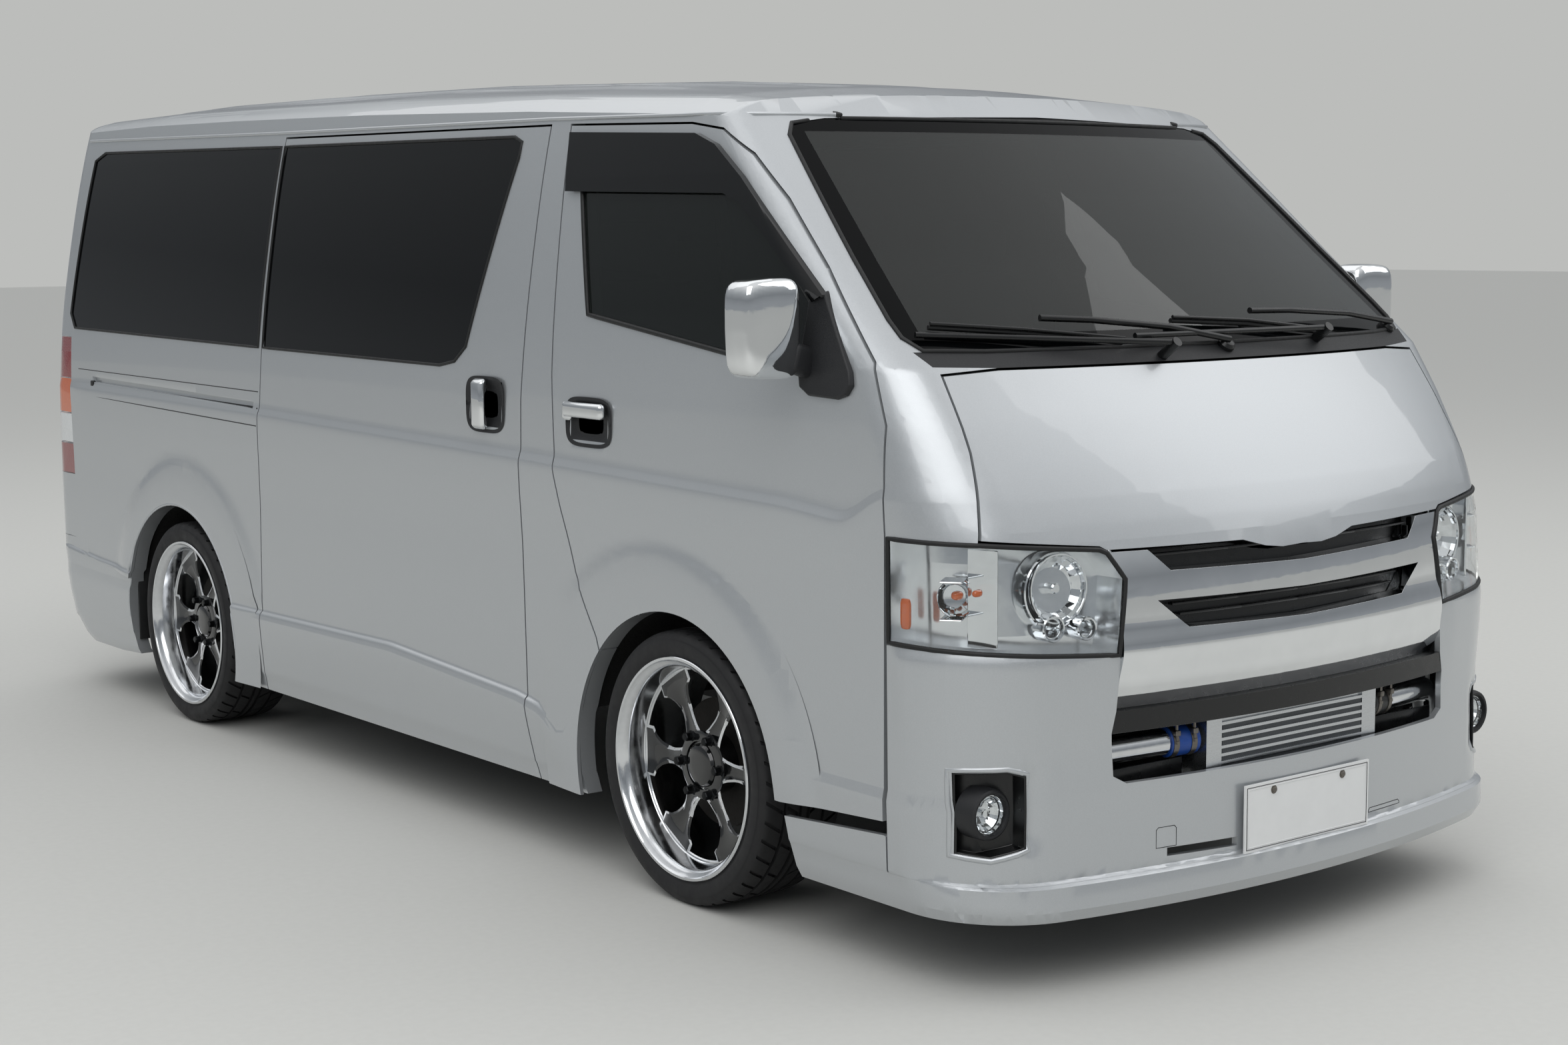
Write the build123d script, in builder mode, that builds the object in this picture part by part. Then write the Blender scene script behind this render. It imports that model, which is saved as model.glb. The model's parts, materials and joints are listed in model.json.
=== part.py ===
"""Lowered passenger van: body panels, glass, cabin, running gear and wheels.

Row frame, in millimetres: +Z up, the front faces -Y, +X is the vehicle's left,
and the origin is on the ground under the middle of the bounding box.
The tables give lengths as distances behind the front axle; along() turns them
into row Y. One function or block makes each node, and save() writes it.
"""
import os
from math import atan2, cos, radians, sin, sqrt

from build123d import *

# ---- driving sizes -------------------------------------------------------
WHEELBASE = 2570.0
FRONT_OVERHANG = 1075.0
REAR_OVERHANG = 1065.0
LENGTH = FRONT_OVERHANG + WHEELBASE + REAR_OVERHANG
FRONT_AXLE_Y = FRONT_OVERHANG - LENGTH / 2
HALF_WIDTH = 847.5
HEIGHT = 1900.0
SILL_Z = 182.0         # lower edge of the body sides

WALL = 40.0            # a door or side wall, outside to lining
ROOF_WALL = 26.0       # roof panel with its headlining
SKIN = 14.0            # bumper and lip mouldings
GLASS = 5.0            # pane thickness
PANE_SINK = 2.0        # panes lie this far inside the paint
GAP = 5.0              # shut line round every part that opens
SEAM = 0.15            # seat of a fixed part in its opening
PAD_GAP = 0.3          # a closed door's clearance from its seals

PLAN_AXIS_Y = 1750.0   # the nose is an arc in plan about this point of the centre line
TAIL_AXIS_Y = -3500.0  # and the tail about this one

TYRE_R, TYRE_W = 307.0, 225.0
RIM_R = 249.0
WHEEL_Z = 306.0
WHEEL_X = 838.0 - TYRE_W / 2
FRONT_ARCH = (8.0, 280.0, 375.0)                   # along, height, radius
REAR_ARCH = (WHEELBASE + 5.0, 280.0, 385.0)
FLARE = 6.0            # how far the arch flares stand out
FLARE_REACH = 145.0    # from the arch's edge to the flare's foot
KINGPIN_X = 672.0

FLOOR_LOW, FLOOR_TOP = 440.0, 470.0
BULKHEAD = 110.0       # from the nose's skin to the front bulkhead
RAIL_IN, RAIL_OUT = 370.0, 430.0
FAR = 1000.0           # past either side of the van
NOSE_END, TAIL_END = -1150.0, 3750.0

# Plan sections of the body: height, half width, nose at the centre line, nose
# corner radius, tail at the centre line, tail corner radius.
PLAN = [
    (150.0, 822.0, -1062.0, 240.0, 3566.0, 250.0),
    (174.0, 832.0, -1075.0, 240.0, 3590.0, 240.0),
    (220.0, 839.0, -1070.0, 245.0, 3618.0, 215.0),
    (230.0, 842.0, -1052.0, 250.0, 3622.0, 205.0),
    (370.0, 846.5, -1051.0, 255.0, 3635.0, 180.0),
    (392.0, 842.5, -1051.0, 255.0, 3635.0, 170.0),
    (480.0, 843.0, -1047.0, 255.0, 3622.0, 115.0),
    (700.0, 845.0, -1047.0, 250.0, 3616.0, 110.0),
    (840.0, 846.5, -1031.0, 235.0, 3610.0, 110.0),
    (905.0, 847.0, -1010.0, 220.0, 3606.0, 110.0),
    (965.0, HALF_WIDTH, -982.0, 200.0, 3602.0, 110.0),
    (985.0, 844.0, -972.0, 190.0, 3600.0, 110.0),
    (1100.0, 840.0, -905.0, 160.0, 3590.0, 105.0),
    (1210.0, 832.0, -832.0, 130.0, 3578.0, 100.0),
    (1420.0, 808.0, -590.0, 105.0, 3548.0, 95.0),
    (1724.0, 758.0, -250.0, 80.0, 3502.0, 85.0),
    (1940.0, 706.0, -10.0, 60.0, 3470.0, 80.0),
]
# Roof sections: along, height at the drip rail, height at the centre line.
ROOF = [
    (-1200.0, 1640.0, 1645.0),
    (-240.0, 1712.0, 1768.0),
    (60.0, 1723.0, 1808.0),
    (700.0, 1740.0, 1850.0),
    (1500.0, 1752.0, 1883.0),
    (2300.0, 1764.0, 1897.0),
    (2900.0, 1773.0, HEIGHT),
    (3400.0, 1776.0, 1890.0),
    (3750.0, 1758.0, 1862.0),
]
DRIP_RAIL_X = 758.0
CROWN_X = 630.0        # where the roof's flat crown turns down to the rail

# ---- side view outlines: (along, height) ---------------------------------
RAIL_LINE = [(-1250.0, 1717.0), (-99.0, 1719.0), (593.0, 1737.0), (1957.0, 1753.0),
             (3371.0, 1777.0), (3800.0, 1777.0)]
DOOR_FRONT = -706.0
FRONT_DOOR = [(-698.0, 326.0), (DOOR_FRONT, 888.0), (-694.0, 1103.0), (-642.0, 1222.0),
              (-460.0, 1401.0), (-305.0, 1542.0), (-186.0, 1637.0), (-87.0, 1692.0), (27.0, 1708.0),
              (502.0, 1722.0), (484.0, 1155.0), (465.0, 956.0), (435.0, 850.0),
              (384.0, 700.0), (291.0, 564.0), (200.0, 308.0), (-384.0, 308.0)]
FRONT_WINDOW = [(346.0, 1296.0), (-470.0, 1192.0), (-545.0, 1200.0), (-556.0, 1228.0),
                (-462.0, 1325.0), (-292.0, 1480.0), (-160.0, 1580.0), (-60.0, 1644.0),
                (40.0, 1668.0), (420.0, 1682.0), (440.0, 1660.0)]
SLIDING_DOOR = [(593.0, 1724.0), (620.0, 1087.0), (612.0, 369.0), (574.0, SILL_Z),
                (2025.0, SILL_Z), (2025.0, 443.0), (2000.0, 940.0), (1957.0, 1740.0)]
SLIDING_WINDOW = [(1000.0, 1156.0), (930.0, 1168.0), (880.0, 1205.0), (716.0, 1655.0),
                  (712.0, 1690.0), (745.0, 1702.0), (1955.0, 1716.0), (1981.0, 1165.0)]
QUARTER_WINDOW = [(2014.0, 1165.0), (1982.0, 1716.0), (3230.0, 1735.0), (3300.0, 1712.0),
                  (3385.0, 1225.0), (3350.0, 1182.0)]
SLIDER_TRACK = [(2040.0, 980.0), (3200.0, 992.0), (3200.0, 1012.0), (2040.0, 1000.0)]
VISOR_TOP = [(487.0, 1707.0), (-7.0, 1688.0), (-84.0, 1662.0), (-190.0, 1592.0), (-316.0, 1492.0),
             (-490.0, 1352.0)]
VISOR_LOW = [(-468.0, 1338.0), (-294.0, 1470.0), (-190.0, 1540.0), (-135.0, 1558.0),
             (474.0, 1572.0)]
MIRROR_FOOT = [(-572.0, 1150.0), (-606.0, 1190.0), (-500.0, 1340.0), (-466.0, 1326.0),
               (-430.0, 1190.0), (-470.0, 1150.0)]

# ---- front and rear view outlines: (x, height), right half ---------------
WINDSCREEN = [(0.0, 1242.0), (600.0, 1242.0), (728.0, 1246.0), (748.0, 1270.0),
              (747.0, 1303.0), (723.0, 1426.0), (662.0, 1680.0), (640.0, 1706.0),
              (560.0, 1717.0), (0.0, 1728.0)]
COWL = [(0.0, 1209.0), (600.0, 1209.0), (734.0, 1214.0), (750.0, 1241.8), (0.0, 1241.8)]
BONNET = [(0.0, 838.0), (60.0, 836.0), (110.0, 842.0), (170.0, 858.0), (513.0, 863.0),
          (527.0, 871.0), (761.0, 893.0), (750.0, 957.0), (731.0, 1054.0), (725.0, 1140.0),
          (722.0, 1196.0), (600.0, 1204.0), (0.0, 1204.0)]
HEADLAMP = [(500.0, 656.0), (880.0, 682.0), (880.0, 889.0), (761.0, 887.0), (527.0, 867.0),
            (510.0, 860.0), (477.0, 806.0), (494.0, 700.0)]
GRILLE = [(0.0, 548.0), (508.0, 548.0), (499.0, 652.0), (493.0, 700.0), (476.0, 806.0),
          (509.0, 861.0), (507.0, 890.0), (0.0, 890.0)]
GRILLE_TOP_GAP = [(0.0, 806.0), (370.0, 814.0), (455.0, 890.0), (0.0, 890.0)]
GRILLE_MID_GAP = [(0.0, 693.0), (333.0, 700.0), (407.0, 758.0), (0.0, 752.0)]
BAND = [(0.0, 505.0), (518.0, 505.0), (508.2, 547.8), (0.0, 547.8)]
AIR_INTAKE = [(0.0, 403.0), (484.0, 404.0), (515.0, 421.0), (518.0, 504.8), (0.0, 504.8)]
LIP_TOP = 225.0
FOG_RECESS = [(702.0, 298.0), (760.0, 280.0), (806.0, 288.0), (806.0, 446.0), (733.0, 450.0),
              (700.0, 440.0)]
SLOT = [(200.0, 240.0), (385.0, 245.0), (385.0, 262.0), (200.0, 258.0)]
TAILGATE = [(0.0, 492.0), (690.0, 492.0), (715.0, 520.0), (712.0, 1180.0), (660.0, 1740.0),
            (640.0, 1772.0), (0.0, 1784.0)]
TAILGATE_WINDOW = [(0.0, 1185.0), (600.0, 1185.0), (640.0, 1215.0), (598.0, 1660.0),
                   (565.0, 1692.0), (0.0, 1702.0)]
TAIL_LAMP = [(728.0, 700.0), (900.0, 700.0), (900.0, 1150.0), (728.0, 1150.0)]


# ---- helpers -------------------------------------------------------------
def along(v):
    """Distance behind the front axle -> row Y."""
    return v + FRONT_AXLE_Y


def both(points):
    """Right-half outline -> the whole outline about the centre line."""
    return points + [(-x, z) for x, z in reversed(points) if x > 0.01]


def grown(points, by):
    """The closed outline with every side moved outwards by a distance."""
    n = len(points)
    turn = sum(points[i - 1][0] * points[i][1] - points[i][0] * points[i - 1][1] for i in range(n))
    out = by if turn > 0 else -by
    moved = []
    for i in range(n):
        (ax, az), (bx, bz), (cx, cz) = points[i - 1], points[i], points[(i + 1) % n]
        la, lc = sqrt((bx - ax) ** 2 + (bz - az) ** 2), sqrt((cx - bx) ** 2 + (cz - bz) ** 2)
        nx = (bz - az) / la + (cz - bz) / lc
        nz = -(bx - ax) / la - (cx - bx) / lc
        k = 2.0 * out / (nx * nx + nz * nz)
        moved.append((bx + nx * k, bz + nz * k))
    return moved


def side_cut(points, s=0, by=0.0):
    """Side view outline swept across the van, or over side s alone (-1 right, 1 left)."""
    x0, x1 = {0: (-FAR, FAR), -1: (-FAR, 0.0), 1: (0.0, FAR)}[s]
    with BuildPart(mode=Mode.PRIVATE) as prism:
        with BuildSketch(Plane.YZ.offset(x0)):
            with BuildLine():
                Polyline(*[(along(y), z) for y, z in grown(points, by)], close=True)
            make_face()
        extrude(amount=x1 - x0)
    return prism.part


def end_cut(points, y0, y1, by=0.0):
    """Front or rear view outline swept along the van from y0 to y1."""
    plane = Plane(origin=(0, along(y1), 0), x_dir=(1, 0, 0), z_dir=(0, -1, 0))
    with BuildPart(mode=Mode.PRIVATE) as prism:
        with BuildSketch(plane):
            with BuildLine():
                Polyline(*grown(points, by), close=True)
            make_face()
        extrude(amount=y1 - y0)
    return prism.part


def nose_cut(points, by=0.0):
    return end_cut(points, NOSE_END, -100.0, by)


def tail_cut(points, by=0.0):
    return end_cut(points, 3300.0, TAIL_END, by)


def block(x0, x1, y0, y1, z0, z1):
    """Box from its limits; its Y limits are distances behind the front axle."""
    with BuildPart(mode=Mode.PRIVATE) as solid:
        with Locations(((x0 + x1) / 2, along((y0 + y1) / 2), (z0 + z1) / 2)):
            Box(abs(x1 - x0), abs(y1 - y0), abs(z1 - z0))
    return solid.part


def drum(x0, x1, y, z, r):
    """Cylinder across the van."""
    with BuildPart(mode=Mode.PRIVATE) as solid:
        with BuildSketch(Plane.YZ.offset(min(x0, x1))):
            with Locations((along(y), z)):
                Circle(r)
        extrude(amount=abs(x1 - x0))
    return solid.part


def arch(ring, extra=0.0, x0=-FAR, x1=FAR):
    return drum(x0, x1, ring[0], ring[1], ring[2] + extra)


def rod(a, b, r):
    """Round bar between two (x, along, z) points."""
    p, q = Vector(a[0], along(a[1]), a[2]), Vector(b[0], along(b[1]), b[2])
    with BuildPart(mode=Mode.PRIVATE) as bar:
        with BuildSketch(Plane(origin=p, z_dir=q - p)):
            Circle(r)
        extrude(amount=(q - p).length)
    return bar.part


def pipe(points, r, bend):
    """Round bar along (x, along, z) points with rounded corners."""
    with BuildPart(mode=Mode.PRIVATE) as run:
        with BuildLine() as route:
            FilletPolyline(*[(x, along(y), z) for x, y, z in points], radius=bend)
        with BuildSketch(Plane(origin=route.line @ 0, z_dir=route.line % 0)):
            Circle(r)
        sweep()
    return run.part


def cut(stock, keep=(), drop=(), join=()):
    """stock, kept inside each of keep, without drop, with join added."""
    with BuildPart(mode=Mode.PRIVATE) as result:
        add(stock)
        for tool in keep:
            add(tool, mode=Mode.INTERSECT)
        for tool in drop:
            add(tool, mode=Mode.SUBTRACT)
        for extra in join:
            add(extra)
    return result.part


def mirrored(solid):
    """The same solid on the other side of the van."""
    with BuildPart(mode=Mode.PRIVATE) as twin:
        mirror(solid, about=Plane.YZ)
    return twin.part


def shifted(solid, dy):
    with BuildPart(mode=Mode.PRIVATE) as moved:
        with Locations((0, dy, 0)):
            add(solid)
    return moved.part


def gather(*solids):
    with BuildPart(mode=Mode.PRIVATE) as group:
        for solid in solids:
            add(solid)
    return group.part


def save(solid, name):
    solid.label = name
    export_step(solid, f"parts/{name}.step")
    print(f"{name:20s} solids {len(solid.solids())} volume {solid.volume / 1e6:8.2f} l")


# ---- body surfaces -------------------------------------------------------
def plan_outline(half, nose, nose_r, tail, tail_r):
    """Plan outline of lines and tangent arcs, in the current line builder."""
    big = PLAN_AXIS_Y - nose
    cx = half - nose_r
    cy = PLAN_AXIS_Y - sqrt((big - nose_r) ** 2 - cx ** 2)
    t = atan2(cy - PLAN_AXIS_Y, cx)
    long_r = tail - TAIL_AXIS_Y
    dx = half - tail_r
    dy = TAIL_AXIS_Y + sqrt((long_r - tail_r) ** 2 - dx ** 2)
    u = atan2(dy - TAIL_AXIS_Y, dx)

    def at(s, x, y):
        return (s * x, along(y))

    front = (big * cos(t), PLAN_AXIS_Y + big * sin(t))
    front_mid = (cx + nose_r * cos(t / 2), cy + nose_r * sin(t / 2))
    rear = (long_r * cos(u), TAIL_AXIS_Y + long_r * sin(u))
    rear_mid = (dx + tail_r * cos(u / 2), dy + tail_r * sin(u / 2))
    ThreePointArc(at(-1, *front), at(1, 0, nose), at(1, *front))
    ThreePointArc(at(1, *front), at(1, *front_mid), at(1, half, cy))
    Line(at(1, half, cy), at(1, half, dy))
    ThreePointArc(at(1, half, dy), at(1, *rear_mid), at(1, *rear))
    ThreePointArc(at(1, *rear), at(1, 0, tail), at(-1, *rear))
    ThreePointArc(at(-1, *rear), at(-1, *rear_mid), at(-1, half, dy))
    Line(at(-1, half, dy), at(-1, half, cy))
    ThreePointArc(at(-1, half, cy), at(-1, *front_mid), at(-1, *front))


def sides(inset, low=0.0, high=2000.0):
    """Loft of the plan sections between two heights, moved in by inset."""
    rows = [r for i, r in enumerate(PLAN)
            if PLAN[min(i + 1, len(PLAN) - 1)][0] > low and PLAN[max(i - 1, 0)][0] < high]
    with BuildPart(mode=Mode.PRIVATE) as body:
        for z, half, nose, nose_r, tail, tail_r in rows:
            with BuildSketch(Plane.XY.offset(z)):
                with BuildLine():
                    plan_outline(half - inset, nose + inset, max(nose_r - inset, 12.0),
                                 tail - inset, max(tail_r - inset, 12.0))
                make_face()
        loft(ruled=True)
    return body.part


def under_roof(inset):
    """Everything below the roof's surface, moved down by inset."""
    foot, wide = DRIP_RAIL_X + 60.0, DRIP_RAIL_X + 260.0
    with BuildPart(mode=Mode.PRIVATE) as solid:
        for y, rail, ridge in ROOF:
            rail, ridge = rail - inset, ridge - inset
            shoulder, low = rail + 0.62 * (ridge - rail), rail - 45.0
            with BuildSketch(Plane(origin=(0, along(y), 0), x_dir=(1, 0, 0), z_dir=(0, -1, 0))):
                with BuildLine():
                    mid = ThreePointArc((-CROWN_X, shoulder), (0, ridge), (CROWN_X, shoulder))
                    TangentArc((CROWN_X, shoulder), (foot, low), tangent=mid % 1)
                    Polyline((foot, low), (wide, low), (wide, 100.0), (-wide, 100.0), (-wide, low),
                             (-foot, low))
                    TangentArc((-CROWN_X, shoulder), (-foot, low), tangent=-(mid % 0))
                make_face()
        loft(ruled=True)
    return solid.part


def envelope(inset, roof_inset):
    return cut(sides(inset), keep=[under_roof(roof_inset)])


os.makedirs("parts", exist_ok=True)
outer = envelope(0.0, 0.0)
lining = envelope(WALL, ROOF_WALL)
shell = cut(outer, drop=[lining])
panes = cut(envelope(PANE_SINK, PANE_SINK), drop=[envelope(PANE_SINK + GLASS, PANE_SINK + GLASS)])

nose = cut(shell, keep=[block(-FAR, FAR, NOSE_END, 0.0, 0.0, 2100.0)])
tail = cut(shell, keep=[block(-FAR, FAR, 2900.0, TAIL_END, 0.0, 2100.0)])
right = cut(shell, keep=[block(-FAR, 0.0, NOSE_END, TAIL_END, 0.0, 2100.0)])
nose_panes = cut(panes, keep=[block(-FAR, FAR, NOSE_END, 200.0, 1150.0, 2100.0)])
right_panes = cut(panes, keep=[block(-FAR, -600.0, NOSE_END, 3500.0, 1100.0, 2100.0)])
nose_skin = cut(sides(0.0, 140.0, 720.0), drop=[sides(SKIN, 140.0, 720.0)])
beneath = sides(SKIN + PAD_GAP, 140.0, 720.0)


def flare(ring):
    """Raised band round a wheel arch, sloping to nothing at its foot."""
    y, z, r = ring
    top_x = HALF_WIDTH + FLARE
    slope = FLARE_REACH / (FLARE + 3.0)
    with BuildPart(mode=Mode.PRIVATE) as cone:
        with BuildSketch(Plane(origin=(-WHEEL_X, along(y), z), x_dir=(-1, 0, 0), z_dir=(0, 1, 0))):
            with BuildLine():
                inner_x = HALF_WIDTH - 3.0 - WHEEL_X
                face_x = top_x - WHEEL_X
                Polyline((inner_x, r - 5.0), (face_x, r - 5.0), (face_x, r + 18.0),
                         (inner_x, r + 18.0 + slope * (FLARE + 3.0) - 18.0), close=True)
            make_face()
        revolve(axis=Axis((0, along(y), z), (1, 0, 0)))
    return cone.part


front_flare, rear_flare = flare(FRONT_ARCH), flare(REAR_ARCH)

# ---- roof and body sides -------------------------------------------------
save(cut(shell, keep=[side_cut(RAIL_LINE + [(3800.0, 2100.0), (-1250.0, 2100.0)])],
         drop=[tail_cut(both(TAILGATE), GAP), nose_cut(both(WINDSCREEN), SEAM)]), "roof")

PILLAR_SEAM = 1268.0   # between a windscreen pillar and the wing below it
SIDE_AREA = [(260.0, SILL_Z), (2935.0, SILL_Z), (2935.0, 419.0), (3452.0, 447.0),
             (3800.0, 447.0)] + RAIL_LINE[::-1] + [(-1250.0, PILLAR_SEAM), (-560.0, PILLAR_SEAM), (100.0, 900.0)]


def pads(y0, y1, seat_y0, seat_y1, z0, z1):
    """Door seal: a pad on the right wall's lining that reaches behind a door's edge."""
    ledge = cut(sides(WALL + PAD_GAP, z0, z1), drop=[sides(WALL + 12.0, z0, z1)],
                keep=[block(-FAR, 0.0, y0, y1, z0, z1)])
    root = cut(sides(WALL - 8.0, z0, z1), drop=[sides(WALL + 12.0, z0, z1)],
               keep=[block(-FAR, 0.0, seat_y0, seat_y1, z0, z1)])
    return gather(ledge, root)


b_pillar_pad = pads(452.0, 520.0, 500.0, 600.0, 870.0, 930.0)
slider_pad = pads(580.0, 660.0, 520.0, 588.0, 1100.0, 1160.0)
rear_pad = pads(1940.0, 2060.0, 2035.0, 2060.0, 1040.0, 1100.0)


TAILGATE_SET_BACK = 0.1    # how far the tailgate stands behind the panels beside it
TAIL_PAD_GAP = PAD_GAP - TAILGATE_SET_BACK
tail_pad = gather(
    cut(sides(WALL - 1.0, 500.0, 760.0), drop=[sides(60.0, 500.0, 760.0)], keep=[block(-770.0, -722.0, 3300.0, TAIL_END, 600.0, 660.0)]),
    cut(sides(WALL + TAIL_PAD_GAP, 500.0, 760.0), drop=[sides(60.0, 500.0, 760.0)], keep=[block(-740.0, -670.0, 3300.0, TAIL_END, 600.0, 660.0)]))


def body_side(stock, sliding):
    """The right-hand side panel; the left-hand one is made on the right and mirrored."""
    windows = [QUARTER_WINDOW] if sliding else [QUARTER_WINDOW, SLIDING_WINDOW]
    drops = [side_cut(FRONT_DOOR, -1, GAP), nose_cut(both(WINDSCREEN), SEAM), nose_cut(both(COWL), SEAM),
             tail_cut(both(TAILGATE), GAP), block(-FAR, FAR, 3300.0, TAIL_END, 100.0, 486.0),
             end_cut([(-x, z) for x, z in TAIL_LAMP], 3380.0, TAIL_END, SEAM)]
    drops += [side_cut(w, -1, SEAM) for w in windows]
    if sliding:
        drops += [side_cut(SLIDING_DOOR, -1, GAP),
                  cut(block(-FAR, -832.0, 2040.0, 3200.0, 960.0, 1030.0), keep=[side_cut(SLIDER_TRACK, -1)])]
    panel = cut(stock, keep=[side_cut(SIDE_AREA, -1)], drop=drops)
    wing_area = side_cut(SIDE_AREA, -1)
    flared = cut(rear_flare, keep=[wing_area], drop=[side_cut(SLIDING_DOOR, -1, GAP)] if sliding else [])
    flared_front = cut(front_flare, keep=[wing_area],
                       drop=[side_cut(FRONT_DOOR, -1, GAP)] + ([side_cut(SLIDING_DOOR, -1, GAP)] if sliding else []))
    joins = [flared, flared_front, b_pillar_pad, tail_pad] + ([slider_pad, rear_pad] if sliding else [])
    panel = cut(panel, join=joins)
    return cut(panel, drop=[arch(FRONT_ARCH), arch(REAR_ARCH)])


save(body_side(right, True), "side_right")
save(mirrored(body_side(right, False)), "side_left")

# ---- nose ----------------------------------------------------------------
lamp_right = [(-x, z) for x, z in HEADLAMP]
wing = cut(nose, keep=[block(-FAR, 0.0, NOSE_END, -560.0, 800.0, PILLAR_SEAM)],
           drop=[side_cut(FRONT_DOOR, -1, GAP), nose_cut(both(BONNET), GAP), nose_cut(both(COWL), SEAM),
                 nose_cut(both(WINDSCREEN), SEAM), nose_cut(lamp_right, SEAM),
                 block(-530.0, 0.0, NOSE_END, 0.0, 700.0, 1300.0)])
save(gather(wing, mirrored(wing)), "wings")
bonnet = cut(nose, keep=[nose_cut(both(BONNET))])
save(bonnet, "bonnet")
cowl = cut(nose, keep=[nose_cut(both(COWL)), block(-FAR, FAR, NOSE_END, -400.0, 0.0, 2000.0)])
save(cowl, "cowl")
windscreen = cut(nose_panes, keep=[nose_cut(both(WINDSCREEN))])
save(windscreen, "windscreen")

LAMP_LOW, LAMP_HIGH, LAMP_DEPTH = 640.0, 900.0, 75.0
lamp_zone = [nose_cut(lamp_right), block(-FAR, 0.0, NOSE_END, DOOR_FRONT - GAP, 0.0, 2000.0)]
lens_back = sides(4.0, LAMP_LOW, LAMP_HIGH)
lens = cut(sides(0.0, LAMP_LOW, LAMP_HIGH), keep=lamp_zone, drop=[lens_back, nose_cut(both(BONNET), GAP)])
save(gather(lens, mirrored(lens)), "headlamp_lenses")
bowl = cut(lens_back, keep=lamp_zone, drop=[
    sides(LAMP_DEPTH, LAMP_LOW, LAMP_HIGH), nose_cut(both(BONNET), GAP),
    cut(nose_cut(lamp_right, -5.0), keep=[block(-FAR, 0.0, NOSE_END, DOOR_FRONT - GAP - 5.0, 0.0, 2000.0)],
        drop=[sides(LAMP_DEPTH - 5.0, LAMP_LOW, LAMP_HIGH)])])
save(gather(bowl, mirrored(bowl)), "headlamp_housings")

save(cut(nose, keep=[nose_cut(both(GRILLE))],
         drop=[nose_cut(both(BONNET), GAP), nose_cut(both(GRILLE_TOP_GAP)), nose_cut(both(GRILLE_MID_GAP))]),
     "grille")
save(cut(sides(WALL + SEAM, 480.0, 900.0), drop=[sides(WALL + 12.0, 480.0, 900.0), nose_cut(both(BONNET), GAP + 4.0)],
         keep=[block(-468.0, 468.0, NOSE_END, -300.0, 530.0, 858.0)]), "grille_backing")
save(cut(nose, keep=[nose_cut(both(BAND))]), "lower_band")

NOSE_LOW_AREA = [(NOSE_END, LIP_TOP), (DOOR_FRONT - GAP, LIP_TOP), (DOOR_FRONT - GAP, 690.0),
                 (NOSE_END, 690.0)]
fog_hole = [nose_cut([(s * x, z) for x, z in FOG_RECESS]) for s in (-1, 1)]
bumper_top = [(0.0, 548.0), (508.0, 548.0), (499.0, 652.0), (501.0, 655.8), (880.0, 681.8), (880.0, 900.0),
              (0.0, 900.0)]
bumper = cut(nose_skin, keep=[side_cut(NOSE_LOW_AREA)],
             drop=[nose_cut(both(bumper_top), SEAM), nose_cut(both(BAND), SEAM), nose_cut(both(AIR_INTAKE))] + fog_hole
             + [nose_cut([(-x, z) for x, z in SLOT])])
save(bumper, "front_bumper")
LIP_AREA = [(NOSE_END, 150.0), (-414.0, 150.0), (-384.0, 277.0), (-698.0, 298.0), (DOOR_FRONT, 297.0),
            (DOOR_FRONT, LIP_TOP - 0.2), (NOSE_END, LIP_TOP - 0.2)]
save(cut(nose_skin, keep=[side_cut(LIP_AREA)], drop=[arch(FRONT_ARCH)]), "front_lip")

# ---- doors, glass, tail --------------------------------------------------
door_flare = cut(front_flare, keep=[side_cut(FRONT_DOOR, -1)])
handle_cup = block(-FAR, -828.0, 236.0, 415.0, 1000.0, 1106.0)
door = cut(cut(right, keep=[side_cut(FRONT_DOOR, -1)], join=[door_flare]),
           drop=[arch(FRONT_ARCH), side_cut(FRONT_WINDOW, -1, SEAM), handle_cup])
door_pane = cut(right_panes, keep=[side_cut(FRONT_WINDOW, -1)])
save(door, "door_right")
save(mirrored(door), "door_left")
save(door_pane, "door_glass_right")
save(mirrored(door_pane), "door_glass_left")

slider_cup = block(-FAR, -828.0, 690.0, 862.0, 1004.0, 1134.0)
save(cut(right, keep=[side_cut(SLIDING_DOOR, -1)],
         drop=[side_cut(SLIDING_WINDOW, -1, SEAM), slider_cup]), "sliding_door")
slider_pane = cut(right_panes, keep=[side_cut(SLIDING_WINDOW, -1)])
quarter_pane = cut(right_panes, keep=[side_cut(QUARTER_WINDOW, -1)])
save(slider_pane, "sliding_door_glass")
save(gather(quarter_pane, mirrored(quarter_pane), mirrored(slider_pane)), "side_glass")

tailgate = cut(tail, keep=[tail_cut(both(TAILGATE))], drop=[tail_cut(both(TAILGATE_WINDOW), SEAM)])
save(shifted(tailgate, TAILGATE_SET_BACK), "tailgate")
save(cut(panes, keep=[tail_cut(both(TAILGATE_WINDOW))]), "tailgate_glass")
tail_lamp = cut(tail, keep=[end_cut([(-x, z) for x, z in TAIL_LAMP], 3380.0 + SEAM, TAIL_END)])
save(gather(tail_lamp, mirrored(tail_lamp)), "tail_lamps")
REAR_BUMPER_AREA = [(2935.2, SILL_Z - 22.0), (2935.2, 418.8), (3452.0, 446.8), (3800.0, 446.8), (3800.0, 150.0),
                    (3100.0, 150.0)]
rear_skin = cut(tail, keep=[side_cut(REAR_BUMPER_AREA)], drop=[arch(REAR_ARCH)])
rear_step = cut(sides(0.0, 400.0, 500.0), keep=[block(-680.0, 680.0, 3500.0, TAIL_END, 440.0, 485.0)],
                drop=[sides(WALL, 400.0, 500.0)])
save(gather(rear_skin, rear_step), "rear_bumper")

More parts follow.
